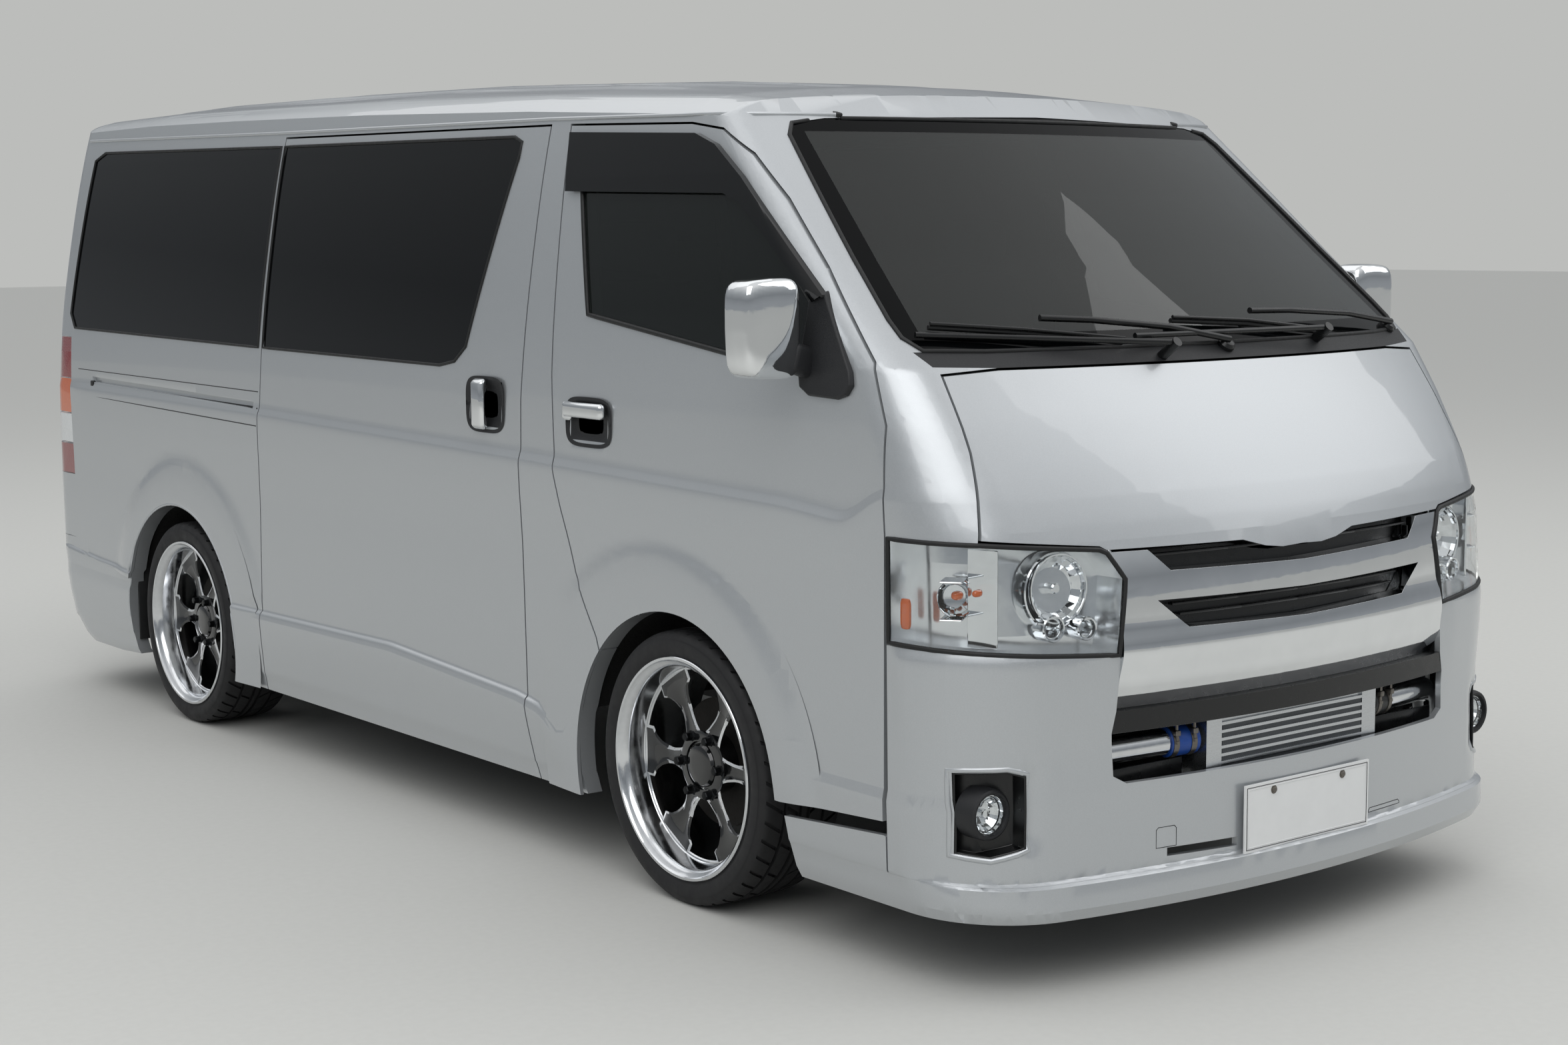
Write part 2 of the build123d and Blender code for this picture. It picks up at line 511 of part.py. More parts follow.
# ---- floor and cabin -----------------------------------------------------
CLEAR = WALL + 6.0                                # cabin fittings keep clear of the doors' lining
COVER = (-330.0, 330.0, -300.0, 640.0, 800.0)     # engine cover: x, x, along, along, top
COVER_WALL = 8.0
HOUSING_WALL, HOUSING_GROW = 4.0, 12.0
FRONT_HOUSING_X, REAR_HOUSING_X = 434.0, 560.0
HOUSING_OUT_X = 795.0


def wheel_housing(ring, x_in):
    return cut(arch(ring, HOUSING_GROW + HOUSING_WALL, -HOUSING_OUT_X, -x_in),
               drop=[block(-FAR, 0.0, ring[0] - 500.0, ring[0] + 500.0, -400.0, FLOOR_LOW - 60.0)])


def wheel_room(ring, x_in):
    return arch(ring, HOUSING_GROW, -FAR, -x_in - HOUSING_WALL)


housings = [wheel_housing(FRONT_ARCH, FRONT_HOUSING_X), wheel_housing(REAR_ARCH, REAR_HOUSING_X)]
rooms = [wheel_room(FRONT_ARCH, FRONT_HOUSING_X), wheel_room(REAR_ARCH, REAR_HOUSING_X)]
cabin_zone = sides(CLEAR, 400.0, 520.0)
slab = cut(cabin_zone, keep=[block(-FAR, FAR, NOSE_END, 3520.0, FLOOR_LOW, FLOOR_TOP)],
           drop=[cut(sides(0.0, 400.0, 520.0), keep=[block(-FAR, FAR, NOSE_END, -640.0, 0.0, 2000.0)],
                     drop=[sides(BULKHEAD, 400.0, 520.0)])])
bulkhead = cut(sides(BULKHEAD, 400.0, 1300.0), drop=[sides(BULKHEAD + 12.0, 400.0, 1300.0)],
               keep=[block(-FAR, FAR, NOSE_END, -640.0, FLOOR_LOW, 1222.0)])
cowl_shelf = cut(sides(WALL + SEAM, 1150.0, 1300.0), drop=[sides(BULKHEAD + 6.0, 1150.0, 1300.0)],
                 keep=[block(-700.0, 700.0, NOSE_END, -640.0, 1212.0, 1222.0)])
outriggers = [cut(sides(WALL, 300.0, 520.0), drop=[sides(CLEAR + 5.0, 300.0, 520.0)],
                  keep=[block(-FAR, FAR, y, y + 70.0, FLOOR_LOW, FLOOR_TOP)])
              for y in (512.0, 2040.0, 3020.0, 3380.0)]
x0, x1, y0, y1, cover_top = COVER
bonnet_rest = cut(sides(WALL + PAD_GAP, 1050.0, 1180.0), drop=[sides(BULKHEAD + 6.0, 1050.0, 1180.0)],
                  keep=[block(-60.0, 60.0, NOSE_END, -640.0, 1100.0, 1130.0)])
floor = cut(slab, join=[bulkhead, cowl_shelf, bonnet_rest, block(x0, x1, y0, y1, FLOOR_TOP - 5.0, cover_top)] + outriggers
            + housings + [mirrored(h) for h in housings])
floor = cut(floor, drop=[block(x0 + COVER_WALL, x1 - COVER_WALL, y0 + COVER_WALL, y1 - COVER_WALL, 300.0,
                               cover_top - COVER_WALL), rod((-470.0, 8.0, 422.9), (470.0, 8.0, 422.9), 18.0)]
            + rooms + [mirrored(r) for r in rooms])
save(floor, "floor")

DASH_SECTION = [(-900.0, 830.0), (-900.0, 1150.0), (-700.0, 1184.0), (-560.0, 1178.0), (-430.0, 1130.0),
                (-415.0, 1000.0), (-480.0, 830.0)]
WHEEL_HUB = (370.0, -290.0, 1115.0)
COLUMN_LEAN = 35.0
STEERING_R, STEERING_RIM_R = 188.0, 15.0
column = Vector(0, sin(radians(COLUMN_LEAN)), cos(radians(COLUMN_LEAN)))
hub_plane = Plane(origin=(WHEEL_HUB[0], along(WHEEL_HUB[1]), WHEEL_HUB[2]), x_dir=(1, 0, 0), z_dir=column)
with BuildPart(mode=Mode.PRIVATE) as shroud:
    with BuildSketch(hub_plane.offset(-90.0 - PAD_GAP)):
        Circle(36.0)
    extrude(amount=-190.0)
dash = cut(side_cut(DASH_SECTION), keep=[sides(BULKHEAD + 12.0 + SEAM, 750.0, 1300.0), block(-760.0, 760.0, NOSE_END, 0.0, 0.0, 2000.0)])
save(cut(dash, join=[shroud.part]), "dashboard")

with BuildPart() as steering:
    with BuildSketch(hub_plane):
        Circle(44.0)
    extrude(amount=-50.0)
    with BuildSketch(hub_plane.offset(-48.0)):
        Circle(20.0)
    extrude(amount=-42.0)
    with BuildSketch(hub_plane.offset(-6.0)):
        Rectangle(2 * STEERING_R, 36.0)
        with Locations((0, -STEERING_R / 2)):
            Rectangle(36.0, STEERING_R)
    extrude(amount=-14.0)
    with BuildSketch(Plane(origin=hub_plane.origin, x_dir=(1, 0, 0), z_dir=hub_plane.y_dir)):
        with Locations((STEERING_R, 12.0)):
            Circle(STEERING_RIM_R)
    revolve(axis=Axis(hub_plane.origin, hub_plane.z_dir))
save(steering.part, "steering_wheel")


def seat(x0, x1, y, base, back_top):
    """Cushion, back and pedestal; y is the cushion's front edge."""
    section = [(y, base), (y, base + 110.0), (y + 60.0, base + 140.0), (y + 390.0, base + 110.0),
               (y + 500.0, back_top - 40.0), (y + 540.0, back_top), (y + 600.0, back_top - 20.0),
               (y + 555.0, base + 110.0), (y + 500.0, base)]
    solid = cut(side_cut(section), keep=[block(x0, x1, y - 10.0, y + 700.0, 0.0, 2000.0)])
    return cut(solid, join=[block(x0 + 60.0, x1 - 60.0, y + 80.0, y + 440.0, FLOOR_TOP, base + 5.0)])


front_seat = cut(seat(-740.0, -345.0, -20.0, 780.0, 1450.0),
                 drop=[arch(FRONT_ARCH, HOUSING_GROW + HOUSING_WALL + PAD_GAP)])
save(gather(front_seat, mirrored(front_seat)), "front_seats")
save(gather(*[seat(-540.0, 540.0, y, 780.0, 1400.0) for y in (900.0, 1700.0, 2480.0)]), "rear_seats")

# ---- things on the nose --------------------------------------------------
PLATE_Y = -1060.0
PLATE = (390.0, 140.0)
PLATE_Z = 293.0
plate = cut(block(-PLATE[0] / 2, PLATE[0] / 2, PLATE_Y, PLATE_Y + 4.0, PLATE_Z - PLATE[1] / 2, PLATE_Z + PLATE[1] / 2),
            join=[block(-120.0, 120.0, PLATE_Y + 3.0, PLATE_Y + 30.0, 262.0, 330.0)])
save(cut(plate, drop=[sides(0.0, 140.0, 480.0)]), "number_plate")

CORE_Y = -1018.0
CORE_X, TANK_X = 222.0, 266.0
tanks = [block(s * (CORE_X - 1.0), s * TANK_X, CORE_Y, CORE_Y + 72.0, 376.0, 503.0) for s in (-1, 1)]
bars = [block(-CORE_X, CORE_X, CORE_Y, CORE_Y + 7.0, 389.0 + 16.0 * i, 395.0 + 16.0 * i) for i in range(7)]
save(cut(block(-CORE_X, CORE_X, CORE_Y + 6.0, CORE_Y + 66.0, 380.0, 500.0),
         join=tanks + bars + [block(-30.0, 30.0, CORE_Y + 6.0, CORE_Y + 20.0, 352.3, 381.0)]), "intercooler")
hose = pipe([(-TANK_X - 5.0, CORE_Y + 36.0, 462.0), (-540.0, CORE_Y + 83.0, 455.0),
             (-592.0, CORE_Y + 118.0, 388.0), (-600.0, -700.0, 384.0)], 27.0, 40.0)
save(gather(hose, mirrored(hose)), "intercooler_pipes")

FOG = (758.0, 366.0, 46.0)          # x, height, radius
fog_zone = end_cut([(-x, z) for x, z in FOG_RECESS], NOSE_END, -760.0, -SEAM)
surround = cut(sides(1.0, 200.0, 520.0), keep=[fog_zone], drop=[
    sides(40.0, 200.0, 520.0),
    cut(end_cut([(-x, z) for x, z in FOG_RECESS], NOSE_END, -700.0, -4.0), drop=[sides(30.0, 200.0, 520.0)])])
with BuildPart(mode=Mode.PRIVATE) as barrel:
    with BuildSketch(Plane(origin=(-FOG[0], along(-860.0), FOG[1]), x_dir=(1, 0, 0), z_dir=(0, -1, 0))):
        Circle(FOG[2])
    extrude(amount=52.0)
fog = cut(surround, join=[barrel.part])
save(gather(fog, mirrored(fog)), "fog_lamps")

VISOR_OUT, VISOR_WALL, VISOR_EDGE = 14.0, 3.0, 5.0
visor_zone = sides(-VISOR_OUT, 1300.0, 1800.0)
flange_line = VISOR_TOP + [(y, z - VISOR_EDGE) for y, z in reversed(VISOR_TOP)]
visor = gather(cut(visor_zone, drop=[sides(VISOR_WALL - VISOR_OUT, 1300.0, 1800.0)], keep=[side_cut(VISOR_TOP + VISOR_LOW, -1)]),
               cut(visor_zone, drop=[sides(0.0, 1300.0, 1800.0)], keep=[side_cut(flange_line, -1)]))
save(visor, "visor_right")
save(mirrored(visor), "visor_left")

HEAD = (-936.0, -430.0, 1287.0)
HEAD_SIZE = (150.0, 84.0, 200.0)
with BuildPart(mode=Mode.PRIVATE) as head:
    with Locations((HEAD[0], along(HEAD[1]), HEAD[2])):
        Box(*HEAD_SIZE)
    fillet(head.edges().filter_by(Axis.Y), 48.0)
    fillet(head.faces().sort_by(Axis.Y)[0].edges(), 34.0)
foot = cut(sides(-7.0, 1100.0, 1400.0), keep=[side_cut(MIRROR_FOOT, -1)], drop=[sides(0.0, 1100.0, 1400.0)])
arm = cut(block(-880.0, -800.0, -500.0, -440.0, 1200.0, 1240.0), drop=[sides(0.0, 1100.0, 1400.0)])
mirror_right = cut(head.part, drop=[sides(0.0, 1100.0, 1400.0)], join=[foot, arm])
save(mirror_right, "mirror_right")
save(mirrored(mirror_right), "mirror_left")

WIPERS = [((-730.0, -664.0, 1275.0), (-190.0, -835.0, 1238.0)), ((-255.0, -800.0, 1262.0), (330.0, -800.0, 1252.0))]
BLADE_R, SPINDLE_R = 6.0, 11.0
blades = []
for tip, hub in WIPERS:
    arm = cut(rod(tip, (hub[0], hub[1] - 14.0, hub[2] + 10.0), BLADE_R),
              join=[rod((hub[0], hub[1] - 22.0, hub[2] + 12.0), (hub[0], hub[1] + 30.0, hub[2] - 26.0), SPINDLE_R)])
    blades.append(cut(arm, drop=[sides(0.0, 1100.0, 1420.0)]))
save(gather(*blades), "wipers")

# ---- running gear --------------------------------------------------------
engine = cut(block(-230.0, 230.0, -190.0, 560.0, 380.0, 770.0),
             join=[block(-110.0, 110.0, 480.0, 1000.0, 322.0, 434.0)])
save(engine, "engine")

frame = [block(s * RAIL_IN, s * RAIL_OUT, -720.0, 3420.0, 350.0, FLOOR_LOW - SEAM) for s in (-1, 1)]
frame += [block(s * RAIL_IN, s * RAIL_OUT, -1000.0, -690.0, 300.0, 352.0) for s in (-1, 1)]
frame += [block(s * RAIL_IN, s * 552.0, y - 30.0, y + 30.0, 385.0, 425.0) for s in (-1, 1) for y in (1960.0, 3180.0)]
frame += [block(-RAIL_OUT, RAIL_OUT, y, y + 60.0, 406.0, 436.0) for y in (-680.0, 1120.0, 1900.0, 3300.0)]
frame += [block(-RAIL_OUT, RAIL_OUT, 180.0, 240.0, 352.0, 379.8), block(-400.0, 400.0, -60.0, 76.0, 290.0, 352.0)]
frame += [cut(beneath, drop=[sides(60.0, 200.0, 480.0)], keep=[block(-600.0, 600.0, NOSE_END, -850.0, 300.0, 352.0)])]
for s in (-1, 1):
    frame += [rod((s * 390.0, 8.0, 322.0), (s * 640.0, 8.0, 206.0), 16.0),
              rod((s * 620.0, 8.0, 215.0), (s * KINGPIN_X, 8.0, 213.0), 11.0),
              rod((s * KINGPIN_X, 8.0, 200.0), (s * KINGPIN_X, 8.0, 232.0 - PAD_GAP), 22.0),
              rod((s * 425.0, 8.0, 424.0), (s * KINGPIN_X, 8.0, 418.0), 11.0),
              rod((s * KINGPIN_X, 8.0, 400.0 + PAD_GAP), (s * KINGPIN_X, 8.0, 428.0), 18.0)]
chassis = cut(block(-RAIL_IN - 5.0, RAIL_IN + 5.0, -680.0, -620.0, 406.0, 436.0), join=frame)
save(chassis, "chassis_frame")

DISC_X, DISC_W, DISC_R = 700.0, 20.0, 145.0
HUB_R = 62.0
upright = cut(block(-692.0, -648.0, -36.0, 44.0, 232.0, 400.0),
              join=[drum(-694.0, -644.0, 0.0, WHEEL_Z, 58.0),
                    block(-726.0, -652.0, 80.0, 150.0, WHEEL_Z - 55.0, WHEEL_Z + 55.0),
                    block(-686.0, -652.0, 30.0, 100.0, WHEEL_Z - 30.0, WHEEL_Z + 30.0),
                    block(-664.0, -610.0, -150.0, -30.0, 264.0, 284.0)])
knuckle = cut(upright, drop=[drum(-800.0, -DISC_X + 6.0, 0.0, WHEEL_Z, DISC_R + 20.0)],
              join=[drum(-DISC_X + PAD_GAP, -690.0, 0.0, WHEEL_Z, 45.0)])
save(knuckle, "knuckle_right")
save(mirrored(knuckle), "knuckle_left")

SPRING = [(1930.0, 384.8), (1930.0, 366.0), (2260.0, 268.0), (WHEELBASE, 234.0), (2880.0, 268.0),
          (3210.0, 366.0), (3210.0, 384.8), (2860.0, 290.0), (WHEELBASE + 90.0, 262.0),
          (WHEELBASE - 90.0, 262.0), (2280.0, 290.0)]
with BuildPart(mode=Mode.PRIVATE) as differential:
    with Locations((0, along(WHEELBASE), WHEEL_Z)):
        Sphere(112.0)
leaf = cut(side_cut(SPRING), keep=[block(-548.0, -486.0, 1900.0, 3300.0, 0.0, 1000.0)])
pad = block(-554.0, -480.0, WHEELBASE - 60.0, WHEELBASE + 60.0, 250.0, 300.0)
save(cut(drum(-DISC_X + PAD_GAP, DISC_X - PAD_GAP, WHEELBASE, WHEEL_Z, 42.0),
         join=[differential.part, rod((0.0, 1001.4, 370.0), (0.0, WHEELBASE - 90.0, 312.0), 30.0),
               leaf, pad, mirrored(leaf), mirrored(pad)]), "rear_axle")
save(cut(pipe([(190.0, 620.0, 366.0), (190.0, 1200.0, 340.0), (220.0, 2250.0, 340.0), (225.0, 2420.0, 398.0),
               (225.0, 2720.0, 398.0), (280.0, 2900.0, 330.0), (300.0, 3540.0, 296.0)], 22.0, 50.0),
         join=[rod((192.0, 1250.0, 340.0), (206.0, 1760.0, 340.0), 64.0),
               block(190.0, 206.0, 1500.0, 1520.0, 380.0, FLOOR_LOW - SEAM),
               block(292.0, 304.0, 3200.0, 3215.0, 312.0, FLOOR_LOW - SEAM)]), "exhaust")
with BuildPart(mode=Mode.PRIVATE) as tank:
    add(block(-360.0, -80.0, 1200.0, 1820.0, 240.0, 380.0))
    fillet(tank.edges().filter_by(Axis.Y), 30.0)
save(cut(tank.part, join=[block(-300.0, -150.0, y, y + 30.0, 375.0, FLOOR_LOW - SEAM) for y in (1240.0, 1740.0)]),
     "fuel_tank")

# ---- wheels --------------------------------------------------------------
# Profiles are (distance outwards from the tyre's middle, radius).
BEAD_X, BEAD_R = 104.5, 243.0
SPOKES = 6
SPOKE_FACE = [(8.0, 40.0), (50.0, 40.0), (40.0, 130.0), (52.0, 226.0), (18.0, 226.0), (4.0, 130.0)]
BARREL = [(-104.7, 242.8), (-104.7, 249.0), (-110.0, 249.0), (-110.0, 236.0), (-60.0, 224.0),
          (-20.0, 214.0), (20.0, 214.0), (60.0, 226.0), (104.0, 230.0), (111.0, 238.0), (111.0, RIM_R),
          (104.7, RIM_R), (104.7, 242.8), (66.0, 236.0), (20.0, 226.0), (-20.0, 226.0), (-60.0, 234.0)]
HUB = [(-4.0, 0.0), (-4.0, 66.0), (52.0, 60.0), (56.0, 36.0), (62.0, 32.0), (62.0, 0.0)]
wheel_plane = Plane(origin=(-WHEEL_X, along(0.0), WHEEL_Z), x_dir=(-1, 0, 0), z_dir=(0, 1, 0))
wheel_axis = Axis((0, along(0.0), WHEEL_Z), (1, 0, 0))
FACE_SIDE = Plane(origin=(-WHEEL_X - 80.0, along(0.0), WHEEL_Z), x_dir=(0, 1, 0), z_dir=(-1, 0, 0))


def turned(points):
    with BuildPart(mode=Mode.PRIVATE) as ring:
        with BuildSketch(wheel_plane):
            with BuildLine():
                Polyline(*points, close=True)
            make_face()
        revolve(axis=wheel_axis)
    return ring.part


def tyre():
    with BuildPart(mode=Mode.PRIVATE) as ring:
        with BuildSketch(wheel_plane):
            with BuildLine():
                Line((-BEAD_X, BEAD_R), (BEAD_X, BEAD_R))
                for s in (1, -1):
                    Line((s * BEAD_X, BEAD_R), (s * BEAD_X, 250.0))
                    ThreePointArc((s * BEAD_X, 250.0), (s * TYRE_W / 2, 276.0), (s * 102.0, 300.0))
                    ThreePointArc((s * 102.0, 300.0), (s * 99.0, 304.0), (s * 92.0, 305.5))
                ThreePointArc((92.0, 305.5), (0.0, TYRE_R), (-92.0, 305.5))
            make_face()
        revolve(axis=wheel_axis)
    return ring.part


def spoke_planform():
    """Six waisted spokes, as a prism along the wheel's axis."""
    with BuildPart(mode=Mode.PRIVATE) as star:
        with BuildSketch(FACE_SIDE):
            with PolarLocations(0.0, SPOKES):
                with BuildSketch(mode=Mode.PRIVATE) as one:
                    with BuildLine():
                        ThreePointArc((40.0, 26.0), (130.0, 19.0), (228.0, 56.0))
                        Line((228.0, 56.0), (228.0, -56.0))
                        ThreePointArc((228.0, -56.0), (130.0, -19.0), (40.0, -26.0))
                        Line((40.0, -26.0), (40.0, 26.0))
                    make_face()
                add(one.sketch)
        extrude(amount=-160.0)
    return star.part


brake = [drum(-DISC_X - DISC_W, -DISC_X, 0.0, WHEEL_Z, DISC_R),
         drum(-DISC_X - DISC_W - 4.0, -DISC_X - 2.0, 0.0, WHEEL_Z, HUB_R)]
spokes = cut(turned(SPOKE_FACE), keep=[spoke_planform()])
front_tyre = tyre()
front_rim = cut(turned(BARREL), join=[turned(HUB), spokes] + brake)


for name, solid in (("tyre", front_tyre), ("rim", front_rim)):
    for end, dy in (("front", 0.0), ("rear", WHEELBASE)):
        save(shifted(solid, dy), f"{name}_{end}_right")
        save(shifted(mirrored(solid), dy), f"{name}_{end}_left")
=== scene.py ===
"""Finishes and details for a lowered cab-over passenger van."""

import json
import math

import bmesh
import bpy
from bpy.props import FloatProperty, FloatVectorProperty, IntProperty, PointerProperty
from mathutils import Matrix, Vector
from mathutils.bvhtree import BVHTree

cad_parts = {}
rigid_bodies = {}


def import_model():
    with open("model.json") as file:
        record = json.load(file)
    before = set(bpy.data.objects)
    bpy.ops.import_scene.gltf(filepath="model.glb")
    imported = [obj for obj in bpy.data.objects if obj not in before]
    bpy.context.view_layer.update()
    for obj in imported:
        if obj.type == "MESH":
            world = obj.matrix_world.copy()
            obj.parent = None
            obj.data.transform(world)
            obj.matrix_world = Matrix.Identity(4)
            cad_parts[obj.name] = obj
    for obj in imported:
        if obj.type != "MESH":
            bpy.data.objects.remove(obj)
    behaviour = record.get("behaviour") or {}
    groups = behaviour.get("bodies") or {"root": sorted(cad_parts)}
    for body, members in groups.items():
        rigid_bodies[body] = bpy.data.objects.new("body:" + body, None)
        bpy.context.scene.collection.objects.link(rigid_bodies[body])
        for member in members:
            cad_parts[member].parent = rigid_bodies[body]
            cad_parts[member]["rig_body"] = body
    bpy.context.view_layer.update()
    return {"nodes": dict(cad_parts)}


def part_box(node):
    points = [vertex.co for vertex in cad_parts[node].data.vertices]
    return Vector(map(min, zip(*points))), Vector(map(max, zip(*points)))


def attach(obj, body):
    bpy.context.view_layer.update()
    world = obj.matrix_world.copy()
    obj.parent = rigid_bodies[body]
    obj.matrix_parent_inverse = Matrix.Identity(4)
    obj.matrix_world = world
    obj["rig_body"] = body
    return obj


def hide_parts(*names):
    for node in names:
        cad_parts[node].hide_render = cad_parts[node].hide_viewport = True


bl_info = {
    "name": "Lowered passenger van",
    "version": (1, 0, 0),
    "blender": (4, 5, 0),
    "location": "3D View > Sidebar > Van",
    "description": "Finishes, trim, wheels, lamps and cabin of a lowered passenger van",
    "category": "Object",
}

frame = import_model()
NODES = frame["nodes"]

MM = 0.001
AXLE_Y = -1280.0          # front axle, in mm along the van
WHEELBASE = 2570.0
WHEEL_X, WHEEL_Z = 725.5, 306.0
RIGHT, LEFT = -1, 1
SIDES = (("right", RIGHT), ("left", LEFT))
PAINT = {}


# ---- places ---------------------------------------------------------------
def at(x, along, z):
    """A point from mm: across, behind the front axle, up."""
    return Vector((x * MM, (along + AXLE_Y) * MM, z * MM))


def along_of(co):
    """How far a point is behind the front axle, in mm."""
    return co.y / MM - AXLE_Y


def skin_of(names):
    """One searchable skin of several CAD nodes."""
    verts, faces = [], []
    for name in names:
        mesh = NODES[name].data
        first = len(verts)
        verts += [v.co.copy() for v in mesh.vertices]
        faces += [[first + i for i in p.vertices] for p in mesh.polygons]
    return BVHTree.FromPolygons(verts, faces)


SKIN = skin_of(("roof", "side_right", "side_left", "wings", "bonnet", "cowl", "windscreen", "headlamp_lenses",
                "grille", "lower_band", "front_bumper", "front_lip", "door_right", "door_left",
                "door_glass_right", "door_glass_left", "sliding_door", "sliding_door_glass", "side_glass",
                "tailgate", "tailgate_glass", "tail_lamps", "rear_bumper"))
TOWARDS = {"front": Vector((0, 1, 0)), "rear": Vector((0, -1, 0)), "right": Vector((1, 0, 0)),
           "left": Vector((-1, 0, 0))}
# Steps aside, in mm, that are tried in turn where a line meets nothing.
TRIED = ((0, 0), (8, 0), (-8, 0), (0, 8), (0, -8), (20, 0), (-20, 0), (0, -20))


def touch(view, a, b):
    """Where a line looking along a view meets the body: a is across (or along), b is up.

    Over a gap the line is moved about a little until it meets something.
    """
    ray = TOWARDS[view]
    for da, db in TRIED:
        if view in ("front", "rear"):
            start = at(a + da, 0, b + db) - ray * 5
        else:
            start = at(0, a + da, b + db) - ray * 3
        hit, normal, _, _ = SKIN.ray_cast(start, ray)
        if hit is not None:
            return fuller(hit, False), normal if normal.dot(ray) < 0 else -normal
    raise RuntimeError(f"nothing of the body at {view} {a} {b}")


def on_body(view, a, b, out=0.0):
    """A place on the body, moved outwards by a distance in mm."""
    spot, normal = touch(view, a, b)
    return spot + normal * out * MM


def outline_on_body(points, view, out=0.0, step=30.0, closed=True):
    """Points along an outline drawn in a view, laid on the body."""
    spots, ring = [], list(points) + ([points[0]] if closed else [])
    for (a0, b0), (a1, b1) in zip(ring, ring[1:]):
        n = max(1, round(math.hypot(a1 - a0, b1 - b0) / step))
        spots += [(a0 + (a1 - a0) * i / n, b0 + (b1 - b0) * i / n) for i in range(n)]
    if not closed:
        spots.append(ring[-1])
    return [on_body(view, a, b, out) for a, b in spots]


def wider(points, by):
    """The closed outline with every side moved outwards by a distance."""
    turn = sum(a[0] * b[1] - b[0] * a[1] for a, b in zip(points, points[1:] + points[:1]))
    out, moved = math.copysign(by, turn), []
    for (ax, az), (bx, bz), (cx, cz) in zip(points[-1:] + points[:-1], points, points[1:] + points[:1]):
        la, lc = math.hypot(bx - ax, bz - az), math.hypot(cx - bx, cz - bz)
        nx, nz = (bz - az) / la + (cz - bz) / lc, -(bx - ax) / la - (cx - bx) / lc
        k = 2 * out / (nx * nx + nz * nz)
        moved.append((bx + nx * k, bz + nz * k))
    return moved


def steps(first, last, by):
    return [first + by * i for i in range(int((last - first) / by) + 1)]


# ---- materials ------------------------------------------------------------
def shade(code):
    """An sRGB hex colour as linear RGBA; a colour that is linear already only gets its alpha."""
    if not isinstance(code, str):
        return [*code, 1.0]
    values = [int(code[i:i + 2], 16) / 255 for i in (1, 3, 5)]
    return [v / 12.92 if v <= 0.04045 else ((v + 0.055) / 1.055) ** 2.4 for v in values] + [1.0]


def fill_sockets(tree, node, sockets):
    """Give a node's sockets their values; a value may be another node's output, which links it."""
    for key, value in sockets.items():
        if isinstance(value, bpy.types.NodeSocket):
            tree.links.new(value, node.inputs[key])
        else:
            node.inputs[key].default_value = value
    return node


def add_node(tree, kind, sockets=None, **settings):
    """A node with its settings and sockets."""
    made = tree.nodes.new(kind)
    for key, value in settings.items():
        setattr(made, key, value)
    return fill_sockets(tree, made, sockets or {})


def new_material(name):
    """A material with its node tree, its shader and the object's own coordinates."""
    made = bpy.data.materials.new(name)
    made.use_nodes = True
    tree = made.node_tree
    return made, tree, tree.nodes["Principled BSDF"], add_node(tree, "ShaderNodeTexCoord").outputs["Object"]


def coat(name, low, high, grain, smooth, rough, bump=0.0, bump_grain=1.0, stretch=(1, 1, 1), **sockets):
    """A shader whose shade and roughness vary over a grain in mm, with an optional bump depth in mm."""
    made, tree, shader, spot = new_material(name)
    spot = add_node(tree, "ShaderNodeMapping", {"Vector": spot, "Scale": stretch}).outputs["Vector"]
    noise = add_node(tree, "ShaderNodeTexNoise", {"Vector": spot, "Scale": 1000.0 / grain, "Detail": 3.0})
    mix = add_node(tree, "ShaderNodeMix", {0: noise.outputs["Fac"], 6: shade(low), 7: shade(high)}, data_type="RGBA")
    spread = add_node(tree, "ShaderNodeMapRange", {"Value": noise.outputs["Fac"], "From Min": 0.3, "From Max": 0.7,
                                                   "To Min": smooth, "To Max": rough})
    fill_sockets(tree, shader, {"Base Color": mix.outputs[2], "Roughness": spread.outputs["Result"],
                                **{key.replace("_", " "): value for key, value in sockets.items()}})
    if bump:
        fine = add_node(tree, "ShaderNodeTexNoise", {"Vector": spot, "Scale": 1000.0 / bump_grain, "Detail": 2.0})
        uneven = add_node(tree, "ShaderNodeBump", {"Height": fine.outputs["Fac"], "Distance": bump * MM,
                                                   "Strength": 1.0})
        fill_sockets(tree, shader, {"Normal": uneven.outputs["Normal"]})
    return made


class VanFinishes(bpy.types.PropertyGroup):
    """Colours of the van."""
    paint: FloatVectorProperty(name="Paint", description="Body colour", subtype="COLOR", size=3,
                               default=shade("#C6C9CC")[:3], min=0, max=1)
    paint_deep: FloatVectorProperty(name="Paint, deeper", description="Body colour between the flakes",
                                    subtype="COLOR", size=3, default=shade("#B7BBBE")[:3], min=0, max=1)
    flake: FloatProperty(name="Flake", description="Size of the aluminium flakes in mm", default=2.5, min=0.1, max=20)
    floor: FloatVectorProperty(name="Floor", description="Studio floor colour", subtype="COLOR", size=3,
                               default=shade("#DADAD6")[:3], min=0, max=1)


class VanWheels(bpy.types.PropertyGroup):
    """Sizes of the wheels and tyres."""
    spokes: IntProperty(name="Spokes", description="Spokes of a wheel", default=6, min=3, max=12)
    groove: FloatProperty(name="Groove", description="Depth of the tread grooves", default=0.006, min=0, max=0.02,
                          unit="LENGTH", subtype="DISTANCE")
    edge: FloatProperty(name="Machined edge", description="Width of the bright edge of a spoke", default=0.006,
                        min=0, max=0.02, unit="LENGTH", subtype="DISTANCE")


